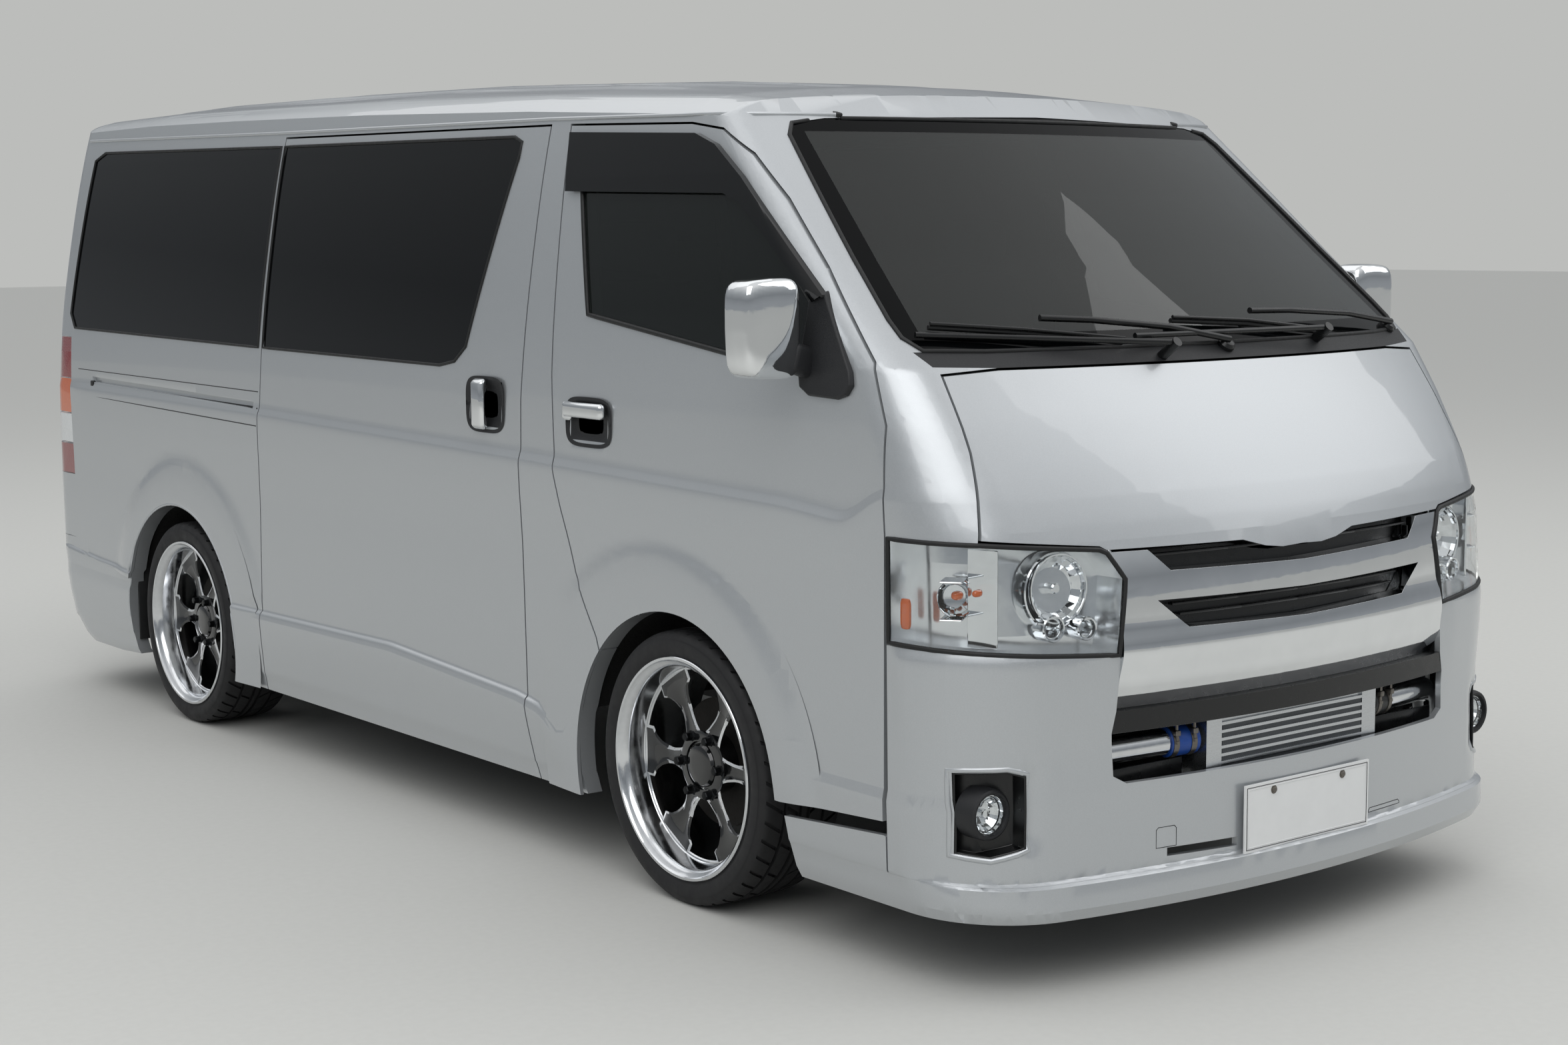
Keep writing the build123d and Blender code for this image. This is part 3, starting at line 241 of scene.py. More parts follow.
# Each finish: the real material's name, its darker and lighter shade, its grain in mm, its least and most roughness,
# and what else it has.
FINISHES = {
    # Chromed ABS: a mirror with the faint waves of a moulded part.
    "chrome": ("bright_chrome", "#E2E4E6", "#EEF0F1", 60, 0.03, 0.06, dict(bump=0.4, bump_grain=90, Metallic=1.0)),
    # Polished cast aluminium rim lip: bright, with fine turning marks.
    "polished": ("polished_aluminium", "#D3D5D8", "#E6E8EA", 14, 0.10, 0.17,
                 dict(bump=0.05, bump_grain=3, Metallic=1.0)),
    # Enamel on the cast spokes: deep black, gloss.
    "gloss_black": ("gloss_black_enamel", "#0B0C0D", "#131415", 30, 0.10, 0.18,
                    dict(Coat_Weight=0.8, Coat_Roughness=0.05)),
    # Zinc plated, blackened nuts: dark metal with a dull shine.
    "nuts": ("black_zinc_nuts", "#141516", "#202224", 8, 0.25, 0.4, dict(Metallic=0.8)),
    # Machined spoke edges: bare aluminium under lacquer.
    "machined": ("machined_aluminium", "#E2E4E6", "#F2F3F4", 4, 0.26, 0.36, dict(Metallic=0.75)),
    # Aluminised lamp bowls: bright, blurred by their many small facets.
    "lamp_bowl": ("aluminised_lamp_bowl", "#ECEEF0", "#F6F8F9", 60, 0.12, 0.22, dict(Metallic=0.85)),
    # Injection moulded polypropylene trim: dull, with a fine leather grain.
    "trim": ("grained_polypropylene", "#17181A", "#202124", 3, 0.48, 0.6, dict(bump=0.25, bump_grain=2.2)),
    # EPDM seals: matt black rubber.
    "seal": ("epdm_rubber", "#0D0E0F", "#151617", 10, 0.45, 0.6, {}),
    # Tyre rubber: black with a dusty bloom.
    "tyre": ("tyre_rubber", "#141415", "#222224", 25, 0.55, 0.75, dict(bump=0.2, bump_grain=2.5)),
    # Painted ABS of the grille surround and bands: satin black.
    "satin_black": ("satin_black_abs", "#0A0B0C", "#121314", 20, 0.25, 0.35, {}),
    # Brushed aluminium tanks: lines run across the van.
    "brushed": ("brushed_aluminium", "#B9BCBF", "#D9DBDD", 1.6, 0.24, 0.36, dict(stretch=(0.04, 1, 1), Metallic=1.0)),
    # Mill finish fins: dull grey metal, its whole colour darkened as a painted shade of the deep fin pack.
    "fins": ("mill_aluminium_fins_painted_shade", "#55585B", "#7B7E81", 2.0, 0.35, 0.5, dict(Metallic=0.9)),
    # Ribbed clear lens over a pale reflector: whitish, glinting at each rib.
    "lamp_white": ("clear_ribbed_lens", "#D9DCDD", "#E8EAEB", 5, 0.06, 0.14,
                   dict(bump=0.8, bump_grain=7, Coat_Weight=1.0)),
    # Privacy glass: almost black, with sharp reflections.
    "dark_glass": ("privacy_glass", "#050607", "#090A0B", 400, 0.01, 0.02, dict(IOR=1.45, Specular_IOR_Level=0.35)),
    # Tinted door glass: clear, grey-green.
    "tinted_glass": ("tinted_glass", "#434A47", "#4A524F", 400, 0.0, 0.01,
                     dict(IOR=1.45, Transmission_Weight=0.9, Specular_IOR_Level=0.35)),
    # Clear polycarbonate lamp covers.
    "clear": ("clear_polycarbonate", "#F4F6F7", "#FBFCFC", 80, 0.0, 0.02,
              dict(IOR=1.04, Transmission_Weight=1.0, Coat_Weight=0.6, Coat_Roughness=0.01)),
    # Smoked acrylic visors: black, a little light through them.
    "smoked": ("smoked_acrylic", "#050607", "#0A0B0D", 120, 0.03, 0.06, dict(IOR=1.49, Transmission_Weight=0.2)),
    # Moulded lamp lenses: deep red and amber under a gloss skin.
    "red_lens": ("red_acrylic_lens", "#780308", "#8F0A10", 6, 0.05, 0.12,
                 dict(bump=0.8, bump_grain=7, Coat_Weight=1.0)),
    "amber": ("amber_lens", "#C9530A", "#E06A12", 6, 0.06, 0.12, dict(Coat_Weight=1.0)),
    # Painted, pressed sheet of the number plates: white, satin.
    "white_plate": ("white_pressed_plate", "#E3E4E4", "#ECEDED", 40, 0.35, 0.45, {}),
    # Silicone hoses: satin, smooth moulded skin.
    "blue_hose": ("blue_silicone", "#123C86", "#1A4A9C", 6, 0.35, 0.5, dict(bump=0.15, bump_grain=3)),
    "black_hose": ("black_silicone", "#101112", "#18191A", 6, 0.4, 0.5, dict(bump=0.15, bump_grain=3)),
    # Woven polyester seat cover: grey, soft sheen.
    "seat_cloth": ("woven_polyester", "#5B5C5F", "#77787B", 2.6, 0.8, 0.95,
                   dict(bump=0.5, bump_grain=2.6, Sheen_Weight=0.3, Sheen_Roughness=0.5)),
    # Moulded dashboard: dark grey, dull, with a leather grain.
    "dash": ("grained_dashboard", "#2B2C2F", "#36373A", 3, 0.5, 0.62, dict(bump=0.3, bump_grain=3)),
    # Underseal below the floor: matt black, lumpy.
    "underseal": ("bitumen_underseal", "#0B0B0B", "#141413", 14, 0.8, 0.95, dict(bump=0.8, bump_grain=6)),
    # Cast iron and forged steel: dark, rough, a little brown.
    "iron": ("cast_iron", "#2B2A29", "#3C3936", 9, 0.6, 0.75, dict(bump=0.5, bump_grain=4, Metallic=0.7)),
    # Bare steel tube and screws: grey, dulled by heat and dirt.
    "steel": ("dull_steel_pipe", "#6A6661", "#8B867F", 35, 0.35, 0.55, dict(Metallic=1.0)),
    # Silvered mirror glass: a clean mirror.
    "mirror": ("silvered_mirror", "#E8EAEB", "#EEF0F1", 200, 0.0, 0.01, dict(Metallic=1.0)),
}
# The windscreen's clear part, in m: its foot and head, and |x| + CLEAR_TAPER * z at its sides; then how clear it is.
CLEAR_FOOT, CLEAR_HEAD, CLEAR_TAPER, CLEAR_SIDE, CLEAR_SHARE = 1.272, 1.688, 0.20, 0.963, 0.93


def screen_glass():
    """Laminated windscreen: faintly green, with a black printed border."""
    made, tree, shader, spot = new_material("laminated_windscreen")
    split = add_node(tree, "ShaderNodeSeparateXYZ", {"Vector": spot})
    found = {"x": split.outputs["X"], "z": split.outputs["Z"]}
    for key, operation, *values in (
            ("side", "ABSOLUTE", "x"), ("lean", "MULTIPLY_ADD", "z", CLEAR_TAPER, "side"),
            ("beyond", "GREATER_THAN", "lean", CLEAR_SIDE), ("low", "LESS_THAN", "z", CLEAR_FOOT),
            ("high", "GREATER_THAN", "z", CLEAR_HEAD), ("either", "MAXIMUM", "low", "high"),
            ("border", "MAXIMUM", "either", "beyond"), ("clear", "SUBTRACT", 1.0, "border"),
            ("through", "MULTIPLY", "clear", CLEAR_SHARE)):
        sockets = {i: found.get(value, value) for i, value in enumerate(values)}
        found[key] = add_node(tree, "ShaderNodeMath", sockets, operation=operation).outputs[0]
    mix = add_node(tree, "ShaderNodeMix", {0: found["border"], 6: shade("#4E5653"), 7: shade("#060708")},
                   data_type="RGBA")
    fill_sockets(tree, shader, {"Base Color": mix.outputs[2], "Transmission Weight": found["through"],
                                "Roughness": 0.01, "IOR": 1.45, "Specular IOR Level": 0.1})
    return made


def make_materials():
    own = bpy.context.scene.van_finishes
    # Silver metallic paint under clear lacquer: fine flakes that sparkle a little, sharp lacquer reflections.
    PAINT["silver"] = coat("silver_metallic_paint", own.paint_deep, own.paint, own.flake, 0.30, 0.42,
                           Metallic=0.62, Coat_Weight=1.0, Coat_Roughness=0.03)
    PAINT["screen_glass"] = screen_glass()
    for key, (*main, rest) in FINISHES.items():
        PAINT[key] = coat(*main, **rest)


# ---- meshes ---------------------------------------------------------------
def finish_mesh(name, bm, material, slot, matrix=None, instead=False, body=None, angle=32.0, recalc=True):
    """The bmesh, moved by a matrix, as a finished piece of a slot; it rides on the slot's own body or a given one.

    instead says that it stands in for the slot's CAD node.
    """
    place(bm, matrix)
    if recalc:
        bmesh.ops.recalc_face_normals(bm, faces=bm.faces)
    mesh = bpy.data.meshes.new(name)
    bm.to_mesh(mesh)
    bm.free()
    made = bpy.data.objects.new(name, mesh)
    bpy.context.scene.collection.objects.link(made)
    for finish in (material if isinstance(material, tuple) else (material,)):
        mesh.materials.append(PAINT[finish])
    mesh.polygons.foreach_set("use_smooth", [True] * len(mesh.polygons))
    mesh.set_sharp_from_angle(angle=math.radians(angle))
    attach(made, body or NODES[slot]["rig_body"])
    if instead:
        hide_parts(slot)
    return made


def place(bm, matrix, verts=None):
    """Move a bmesh, or some of its vertices, by a matrix, if there is one."""
    if matrix is not None:
        bmesh.ops.transform(bm, matrix=matrix, verts=verts or bm.verts)


def mirrored(bm):
    """A copy of the bmesh on the van's other side."""
    twin = bm.copy()
    place(twin, Matrix.Scale(-1, 4, (1, 0, 0)))
    bmesh.ops.reverse_faces(twin, faces=twin.faces)
    return twin


def finish_pair(name, bm, material, slot, matrix=None, **how):
    """A right-hand piece, moved by a matrix, and its mirror image; the slot may end in a side, given as {}."""
    place(bm, matrix)
    return [finish_mesh(f"{name}_{word}", own, material, slot.format(word), **how)
            for (word, _), own in zip(SIDES, (bm, mirrored(bm)))]


def round_edges(obj, width, segments=2, angle=35.0):
    bevel = obj.modifiers.new("rounded", "BEVEL")
    bevel.width, bevel.segments = width * MM, segments
    bevel.limit_method, bevel.angle_limit = "ANGLE", math.radians(angle)


def verts_of(made):
    """The vertices among what a bmesh operator made."""
    return [g for g in made["geom"] if isinstance(g, bmesh.types.BMVert)]


def turned(bm, profile, count=96, material=0):
    """Spin a closed profile of (along the axis, radius) points in mm about the X axis."""
    verts = [bm.verts.new((a * MM, 0, r * MM)) for a, r in profile]
    edges = [bm.edges.new(pair) for pair in zip(verts, verts[1:] + verts[:1])]
    before = set(bm.faces)
    bmesh.ops.spin(bm, geom=verts + edges, cent=(0, 0, 0), axis=(1, 0, 0), dvec=(0, 0, 0), angle=math.tau,
                   steps=count, use_merge=True)
    bmesh.ops.remove_doubles(bm, verts=bm.verts, dist=1e-6)
    for f in bm.faces:
        if f not in before:
            f.material_index = material


def spun(profile, count=48):
    """A turned piece on its own, about the X axis."""
    bm = bmesh.new()
    turned(bm, profile, count)
    bmesh.ops.recalc_face_normals(bm, faces=bm.faces)
    return bm


def soft_box(size, rounding, segments=4):
    """A box in mm with well rounded edges, centred at the origin."""
    bm = bmesh.new()
    bmesh.ops.create_cube(bm, size=1.0)
    bmesh.ops.scale(bm, vec=[v * MM for v in size], verts=bm.verts)
    bmesh.ops.bevel(bm, geom=bm.edges[:], offset=rounding * MM, offset_type="OFFSET", affect="EDGES",
                    segments=segments, profile=0.5, material=-1)
    return bm


def egg(size, power=2.6, segments=32, rings=20, shape=None):
    """A rounded block in mm: a sphere pushed out towards a box."""
    bm = bmesh.new()
    bmesh.ops.create_uvsphere(bm, u_segments=segments, v_segments=rings, radius=1.0)
    for v in bm.verts:
        n = v.co.normalized()
        k = sum(abs(c) ** power for c in n) ** (-1 / power)
        v.co = Vector([c * k * half * MM / 2 for c, half in zip(n, size)])
        if shape:
            v.co = shape(v.co)
    return bm


def join_into(bm, other, matrix=None):
    """Add another bmesh to bm, moved by a matrix, and free it."""
    place(other, matrix)
    temp = bpy.data.meshes.new("temp")
    other.to_mesh(temp)
    other.free()
    bm.from_mesh(temp)
    bpy.data.meshes.remove(temp)


def moved(point, degrees=0.0, axis="Z"):
    """A matrix that turns about the origin and then moves to a point."""
    return Matrix.Translation(point) @ Matrix.Rotation(math.radians(degrees), 4, axis)


def facing(point, normal):
    """A matrix that puts local +X along a normal and local +Z as near up as can be."""
    out = Vector(normal).normalized()
    side = Vector((0, 0, 1)).cross(out).normalized()
    basis = Matrix((out, side, out.cross(side))).transposed().to_4x4()
    return Matrix.Translation(point) @ basis


def tube(name, points, radius, material, slot, closed=False):
    """A round tube along a run of points."""
    curve = bpy.data.curves.new(name, "CURVE")
    curve.dimensions = "3D"
    spline = curve.splines.new("POLY")
    spline.points.add(len(points) - 1)
    for spot, p in zip(spline.points, points):
        spot.co = (*p, 1.0)
    spline.use_cyclic_u = closed
    curve.bevel_depth, curve.bevel_resolution = radius * MM, 3
    curve.use_fill_caps = not closed
    holder = bpy.data.objects.new(name, curve)
    bpy.context.scene.collection.objects.link(holder)
    bpy.context.view_layer.update()
    mesh = bpy.data.meshes.new_from_object(holder.evaluated_get(bpy.context.evaluated_depsgraph_get()))
    bpy.data.objects.remove(holder)
    bm = bmesh.new()
    bm.from_mesh(mesh)
    bmesh.ops.remove_doubles(bm, verts=bm.verts, dist=1e-6)
    return finish_mesh(name, bm, material, slot, angle=50)


def lay(name, points, view, radius, material, slot, out=0.0, step=30.0, closed=False):
    """A tube along an outline drawn in a view and laid on the body; returns its run."""
    run = outline_on_body(points, view, out, step, closed)
    tube(name, run, radius, material, slot, closed)
    return run


def copy_of(node):
    """The CAD node's mesh, with its seams closed."""
    bm = bmesh.new()
    bm.from_mesh(NODES[node].data)
    bmesh.ops.remove_doubles(bm, verts=bm.verts, dist=2e-5)
    return bm


# ---- body panels ----------------------------------------------------------
# The body's plan sections: height, half width, nose and tail at the centre line, in mm.
SECTIONS = ((480, 843, -1047, 3622), (700, 845, -1047, 3616), (840, 846.5, -1031, 3610), (905, 847, -1010, 3606),
            (985, 844, -972, 3600), (1100, 840, -905, 3590), (1210, 832, -832, 3578), (1420, 808, -590, 3548),
            (1724, 758, -250, 3502), (1940, 706, -10, 3470))
HALF_WIDTH, NOSE, TAIL = 1, 2, 3        # columns of the sections
COWL_BREAK = 1210
BELT = ((-689, 909), (-394, 933), (626, 957), (1981, 983), (3700, 1000))      # crease under the windows
SKIRT = ((380, 250), (450, 296), (546, 356), (651, 372), (1273, 408), (2029, 397), (3600, 397))
TAIL_SKIRT = ((2860, 422), (3205, 437), (3451, 456), (3640, 468))       # top of the rear bumper's ends
DOOR_FRONT = -712         # nothing of the side slides ahead of this
# Levels that slide to meet a crease: the crease, the level, the reach above and below it, and where along the van
# the slide starts and ends, each with its fade.
SLIDES = ((BELT, 975, 120, 230, (DOOR_FRONT, 150), (9000, 1)), (SKIRT, 381, 250, 205, (380, 90), (2300, 60)),
          (TAIL_SKIRT, 440, 80, 80, (2850, 20), (9000, 1)))
BELT_SHOULDER, SKIRT_SHOULDER, FLARE_SHOULDER, TAIL_SHOULDER = 5.0, 7.5, 7.0, 6.5
# Wheel arch swells: middle along, middle up, radius of the outer edge, where the foot fades out and over what height.
FLARES = ((50.0, 290.0, 522.0, 250.0, 120.0), (2530.0, 295.0, 528.0, 392.0, 50.0))


def on_line(table, a):
    for (a0, b0), (a1, b1) in zip(table, table[1:]):
        if a <= a1:
            break
    t = min(max((a - a0) / (a1 - a0), 0.0), 1.0)
    return b0 + (b1 - b0) * t


def fullness(z, column):
    """How far a smooth curve through the sections stands outside their straight runs."""
    rows = SECTIONS
    if not rows[0][0] < z < rows[-1][0]:
        return 0.0
    i = max(k for k in range(len(rows) - 1) if rows[k][0] <= z)
    secant = [(rows[k + 1][column] - rows[k][column]) / (rows[k + 1][0] - rows[k][0]) for k in range(len(rows) - 1)]

    def slope(k, own):
        if k in (0, len(rows) - 1) or (column == NOSE and rows[k][0] == COWL_BREAK):
            return secant[own]
        h0, h1 = rows[k][0] - rows[k - 1][0], rows[k + 1][0] - rows[k][0]
        return (secant[k - 1] * h1 + secant[k] * h0) / (h0 + h1)

    h = rows[i + 1][0] - rows[i][0]
    t = (z - rows[i][0]) / h
    m0, m1 = slope(i, i) - secant[i], slope(i + 1, i) - secant[i]
    return h * (t * (1 - t) ** 2 * m0 - t * t * (1 - t) * m1)


def rise(distance, width=1.0):
    """0 below nothing, 1 beyond a width, smooth between."""
    t = min(max(distance / width, 0.0), 1.0)
    return t * t * (3 - 2 * t)


def relief(along, z):
    """How far the side stands out: shoulders under the belt and skirt creases and round the wheel arches."""
    ends = rise(along + 690, 160) * rise(3420 - along, 120)
    out = BELT_SHOULDER * ends * rise(998 - z, 46) * rise(z - 700, 250)
    reach = rise(along - 400, 60) * rise(2300 - along, 60)
    skirt = SKIRT_SHOULDER * reach * rise(397 - z, 12) * rise(z - 190, 180)
    for y, up, r, foot, fade in FLARES:
        from_arch = math.hypot(along - y, z - up)
        swell = rise(r - from_arch, 34) * rise(from_arch - 330, 150) * rise(z - foot, fade)
        if swell > 0.02:
            out = max(out, FLARE_SHOULDER * swell - (skirt if y < 1000 else 0))
    return out + skirt + TAIL_SHOULDER * rise(along - 2760, 20) * rise(446 - z, 12) * rise(z - 210, 120)


def fuller(co, slide=True):
    """Move a point of the body from the straight-run shell to the smooth, creased one."""
    x, along, height = co.x / MM, along_of(co), co.z / MM
    z = height
    if abs(x) > 760 and along > DOOR_FRONT:
        x += math.copysign(relief(along, height) * rise(abs(x) - 760, 40), x)
    if slide and abs(x) > 620 and along > DOOR_FRONT:
        for crease, level, above, below, (start, fade_in), (end, fade_out) in SLIDES:
            near = 1 - (height - level) / above if height > level else 1 - (level - height) / below
            z += ((on_line(crease, along) - level) * rise(near) * rise(along - start, fade_in)
                  * rise(end - along, fade_out))
    wide = min(max((abs(x) - 600) / 200, 0.0), 1.0)
    front = min(max((-500 - along) / 200, 0.0), 1.0)
    rear = min(max((along - 3350) / 100, 0.0), 1.0)
    side, ends = math.sin(wide * math.pi / 2), math.cos(wide * math.pi / 2)
    if along < -700 and 600 < abs(x) < 704:      # the bumper falls in towards the fog lamps
        along += 15 * rise(abs(x) - 634, 74) ** 2 * rise(height - 276, 50) * rise(474 - height, 60)
    x += math.copysign(side * fullness(height, HALF_WIDTH), x)
    along += ends * (front * fullness(height, NOSE) + rear * fullness(height, TAIL))
    return at(x, along, z)


def roof_rib(v):
    """Shallow ribs along the roof, 150 mm apart, that end short of its edges."""
    x, along = abs(v.co.x) / MM, along_of(v.co)
    rib = rise(36 - abs((x + 75) % 150 - 75), 18) * rise(540 - x, 30)
    v.co.z += 5 * MM * rib * rise(along - 60, 120) * rise(3330 - along, 80) * rise(v.co.z - 1.8, 0.03)


def bumper_roll(v):
    """The bumper's top edge rolls out under the lamps."""
    x, along, z = v.co.x / MM, along_of(v.co), v.co.z / MM
    out = 8 * rise(688 - z, 34) * rise(z - 400, 250) * rise(abs(x) - 500, 60) * rise(-along - 708, 60)
    t = min(abs(x) / 847, 1.0) ** 3
    v.co += Vector((math.copysign(t, x), t - 1, 0)).normalized() * out * MM


def grille_fold(v):
    """A folded foot and a crowned middle."""
    z = v.co.z / MM
    v.co.y += (0.5 * max(600 - z, 0) - 7 * rise(z - 600, 60) * rise(720 - z, 60)) * MM


PRESSED = {"roof": roof_rib, "front_bumper": bumper_roll, "grille": grille_fold}
# Recesses behind the handle cups: middle and half size along and up, in mm, and how far they are drawn in.
DOOR_RECESS = ((325.5, 1053.0), (90.5, 54.0))
RECESS = {"door_right": DOOR_RECESS, "door_left": DOOR_RECESS, "sliding_door": ((776.0, 1069.0), (87.0, 66.0))}
DRAWN_IN = 0.84


def panel(node, material, across=(), along=(), up=(), bevel=2.0, shape=True, trim=None):
    """A finer copy of a CAD panel: merged, cut into a grid, eased to the smooth shell, with rounded edges."""
    bm = copy_of(node)
    (my, mz), (hy, hz) = RECESS.get(node, ((0, 0), (0, 0)))

    def from_recess(v):
        return along_of(v.co) - my, v.co.z / MM - mz

    if node in RECESS:
        for v in bm.verts:
            dy, dz = from_recess(v)
            if abs(dy) < hy and abs(dz) < hz and abs(v.co.x) > 0.82:
                v.co.y, v.co.z = (my + dy * DRAWN_IN + AXLE_Y) * MM, (mz + dz * DRAWN_IN) * MM
    if trim:
        bmesh.ops.delete(bm, geom=[f for f in bm.faces if trim(f)], context="FACES")
    bmesh.ops.dissolve_limit(bm, angle_limit=math.radians(0.6), verts=bm.verts, edges=bm.edges)
    for normal, places in (((1, 0, 0), across), ((0, 1, 0), along), ((0, 0, 1), up)):
        for spot in places:
            bmesh.ops.bisect_plane(bm, geom=bm.verts[:] + bm.edges[:] + bm.faces[:], dist=1e-5,
                                   plane_co=at(spot, spot, spot), plane_no=normal)
    if node in PRESSED:
        for v in bm.verts:
            PRESSED[node](v)
    if shape:
        for v in bm.verts:
            dy, dz = from_recess(v)
            outside = abs(dy) > hy * DRAWN_IN + 2 or abs(dz) > hz * DRAWN_IN + 2
            v.co = fuller(v.co, outside or node not in RECESS)
    made = finish_mesh(node + "_panel", bm, material, node, instead=True, angle=24.0, recalc=False)
    if bevel:
        round_edges(made, bevel, 2, 40.0)


LEVELS = steps(500, 900, 50) + [935, 953, 964, 975, 986, 997, 1015, 1050] + steps(1100, 1900, 50)
SIDE_LEVELS = (steps(200, 360, 20) + [372, 379, 385, 388, 391, 394, 398, 404, 420, 428, 434, 437, 440, 443, 447, 454]
               + steps(466, 940, 20) + steps(944, 1004, 6) + steps(1030, 1900, 40))
GUTTER = ((-180, 1724), (60, 1729), (593, 1741), (1957, 1757), (3371, 1780))       # along and up
# Cuts across the bumper where it falls in towards the fog lamps.
FOG_EDGES = [side * x for side in (-1, 1) for x in (636, 645, 652, 668, 676, 684, 697)]


class VAN_OT_panels(bpy.types.Operator):
    """Painted body panels with smooth sides, creases and rounded edges"""
    bl_idname = "van.panels"
    bl_label = "Body panels"

    @staticmethod
    def corner_filler(word, side):
        """The strip that closes the corner of the side over the end of the rear bumper."""
        run = [on_body(word, y, 500) for y in steps(3292, 3520, 19)]
        run += [on_body("rear", side * x, 520) for x in (770, 752, 728)]
        run += [on_body("rear", side * x, 430) for x in (700, 670, 640)]
        bm = bmesh.new()
        edge = [bm.verts.new((p.x, p.y, 0.436)) for p in run]
        for a, b in zip(edge, edge[1:]):
            bm.edges.new((a, b))
        for v in verts_of(bmesh.ops.extrude_edge_only(bm, edges=bm.edges[:])):
            v.co.z = 0.4905 if abs(v.co.x) > 0.71 else 0.4865
        upright = [e for e in bm.edges if abs(e.verts[0].co.z - e.verts[1].co.z) > 0.03]
        bmesh.ops.subdivide_edges(bm, edges=upright, cuts=2)
        if side == LEFT:
            bmesh.ops.reverse_faces(bm, faces=bm.faces)
        bmesh.ops.solidify(bm, geom=bm.faces[:], thickness=6 * MM)
        finish_mesh("corner_filler_" + word, bm, "silver", "rear_bumper")

    @staticmethod
    def splash_guards(word, side):
        """A flap behind the rear wheel and aprons inboard of both."""
        bm = bmesh.new()
        for size, (x, along, z) in (((180, 8, 250), (736, 2946, 330)), ((5, 900, 262), (548, 2570, 331)),
                                    ((5, 800, 300), (424, 20, 370))):
            join_into(bm, soft_box(size, 2, 2), moved(at(side * x, along, z)))
        finish_mesh("splash_guards_" + word, bm, "seal", "floor")

    @staticmethod
    def door_track():
        """The sliding door's track behind it, on the right side."""
        for name, line, out, radius in (("line_upper", ((2010, 1037), (3318, 1048)), -0.6, 1.6),
                                        ("line_lower", ((2010, 941), (3314, 968)), -0.6, 1.6),
                                        ("slot", ((2010, 989), (3200, 1004)), -1.0, 4.0)):
            run = lay("track_" + name, line, "right", radius, "seal", "side_right", out, 90)
        finish_mesh("track_end", soft_box((10, 26, 22), 4, 3), "seal", "side_right", moved(run[-1]))

    def execute(self, context):
        for node, along in (("side_right", steps(-700, 3580, 30)), ("side_left", steps(-700, 3580, 30)),
                            ("door_right", steps(-690, 480, 26)), ("door_left", steps(-690, 480, 26)),
                            ("sliding_door", steps(620, 1980, 34))):
            panel(node, "silver", along=along, up=SIDE_LEVELS)
        panel("roof", "silver", across=steps(-700, 700, 25),
              along=[-160, -100, -40, 20, 60, 90, 120, 150, 180] + steps(300, 3200, 145) + [3250, 3290, 3330, 3400])
        for node in ("wings", "bonnet", "tailgate"):
            panel(node, "silver", across=steps(-800, 800, 50), up=steps(520, 1900, 40))
        for node, across, along, up in (
                ("front_bumper", FOG_EDGES, steps(-950, -700, 25), [295, 325, 445]),
                ("rear_bumper", [], steps(3100, 3600, 30), [430, 436, 440, 444, 450]),
                ("front_lip", [], steps(-950, -700, 25), [295, 325, 445])):
            panel(node, "silver", across=steps(-840, 840, 30) + across, along=along,
                  up=steps(190, 640, 30) + up + [656, 664, 672, 680, 688])
        panel("grille", "chrome", across=steps(-480, 480, 60), up=steps(560, 880, 10), bevel=3.0)
        arch = [(2575 - 389 * math.cos(math.radians(a)), 280 + 389 * math.sin(math.radians(a)))
                for a in range(0, 181, 3)]
        for word, side in SIDES:
            gutter = lay("drip_rail_" + word, GUTTER, word, 4.5, "silver", "side_" + word, 1.0, 60)
            self.corner_filler(word, side)
            self.splash_guards(word, side)
            if side == RIGHT:
                self.door_track()
            finish_mesh("drip_rail_tip_" + word, soft_box((16, 54, 14), 4, 3), "seal", "side_" + word,
                        moved(gutter[0] + Vector((0, 0.020, 0.003)), 14, "X"))
            lay("arch_lip_" + word, arch, word, 4.0, "silver", "side_" + word, -2.0, 400)
        return {"FINISHED"}


FRONT_WINDOW = ((346, 1296), (-470, 1192), (-545, 1200), (-556, 1228), (-462, 1325), (-292, 1480), (-160, 1580),
                (-60, 1644), (40, 1668), (420, 1682), (440, 1660))
SLIDING_WINDOW = ((1000, 1156), (930, 1168), (880, 1205), (716, 1655), (712, 1690), (745, 1702), (1955, 1716),
                  (1981, 1165))
QUARTER_WINDOW = ((2014, 1165), (1982, 1716), (3230, 1735), (3300, 1712), (3385, 1225), (3350, 1182))
TAILGATE_WINDOW = ((-600, 1185), (600, 1185), (640, 1215), (598, 1660), (565, 1692), (-565, 1692), (-598, 1660),
                   (-640, 1215))
SCREEN = ((-600, 1243), (600, 1243), (727, 1247), (747, 1270), (746, 1303), (722, 1426), (661, 1678), (639, 1703),
          (560, 1714), (-560, 1714), (-639, 1703), (-661, 1678), (-722, 1426), (-746, 1303), (-747, 1270),
          (-727, 1247))


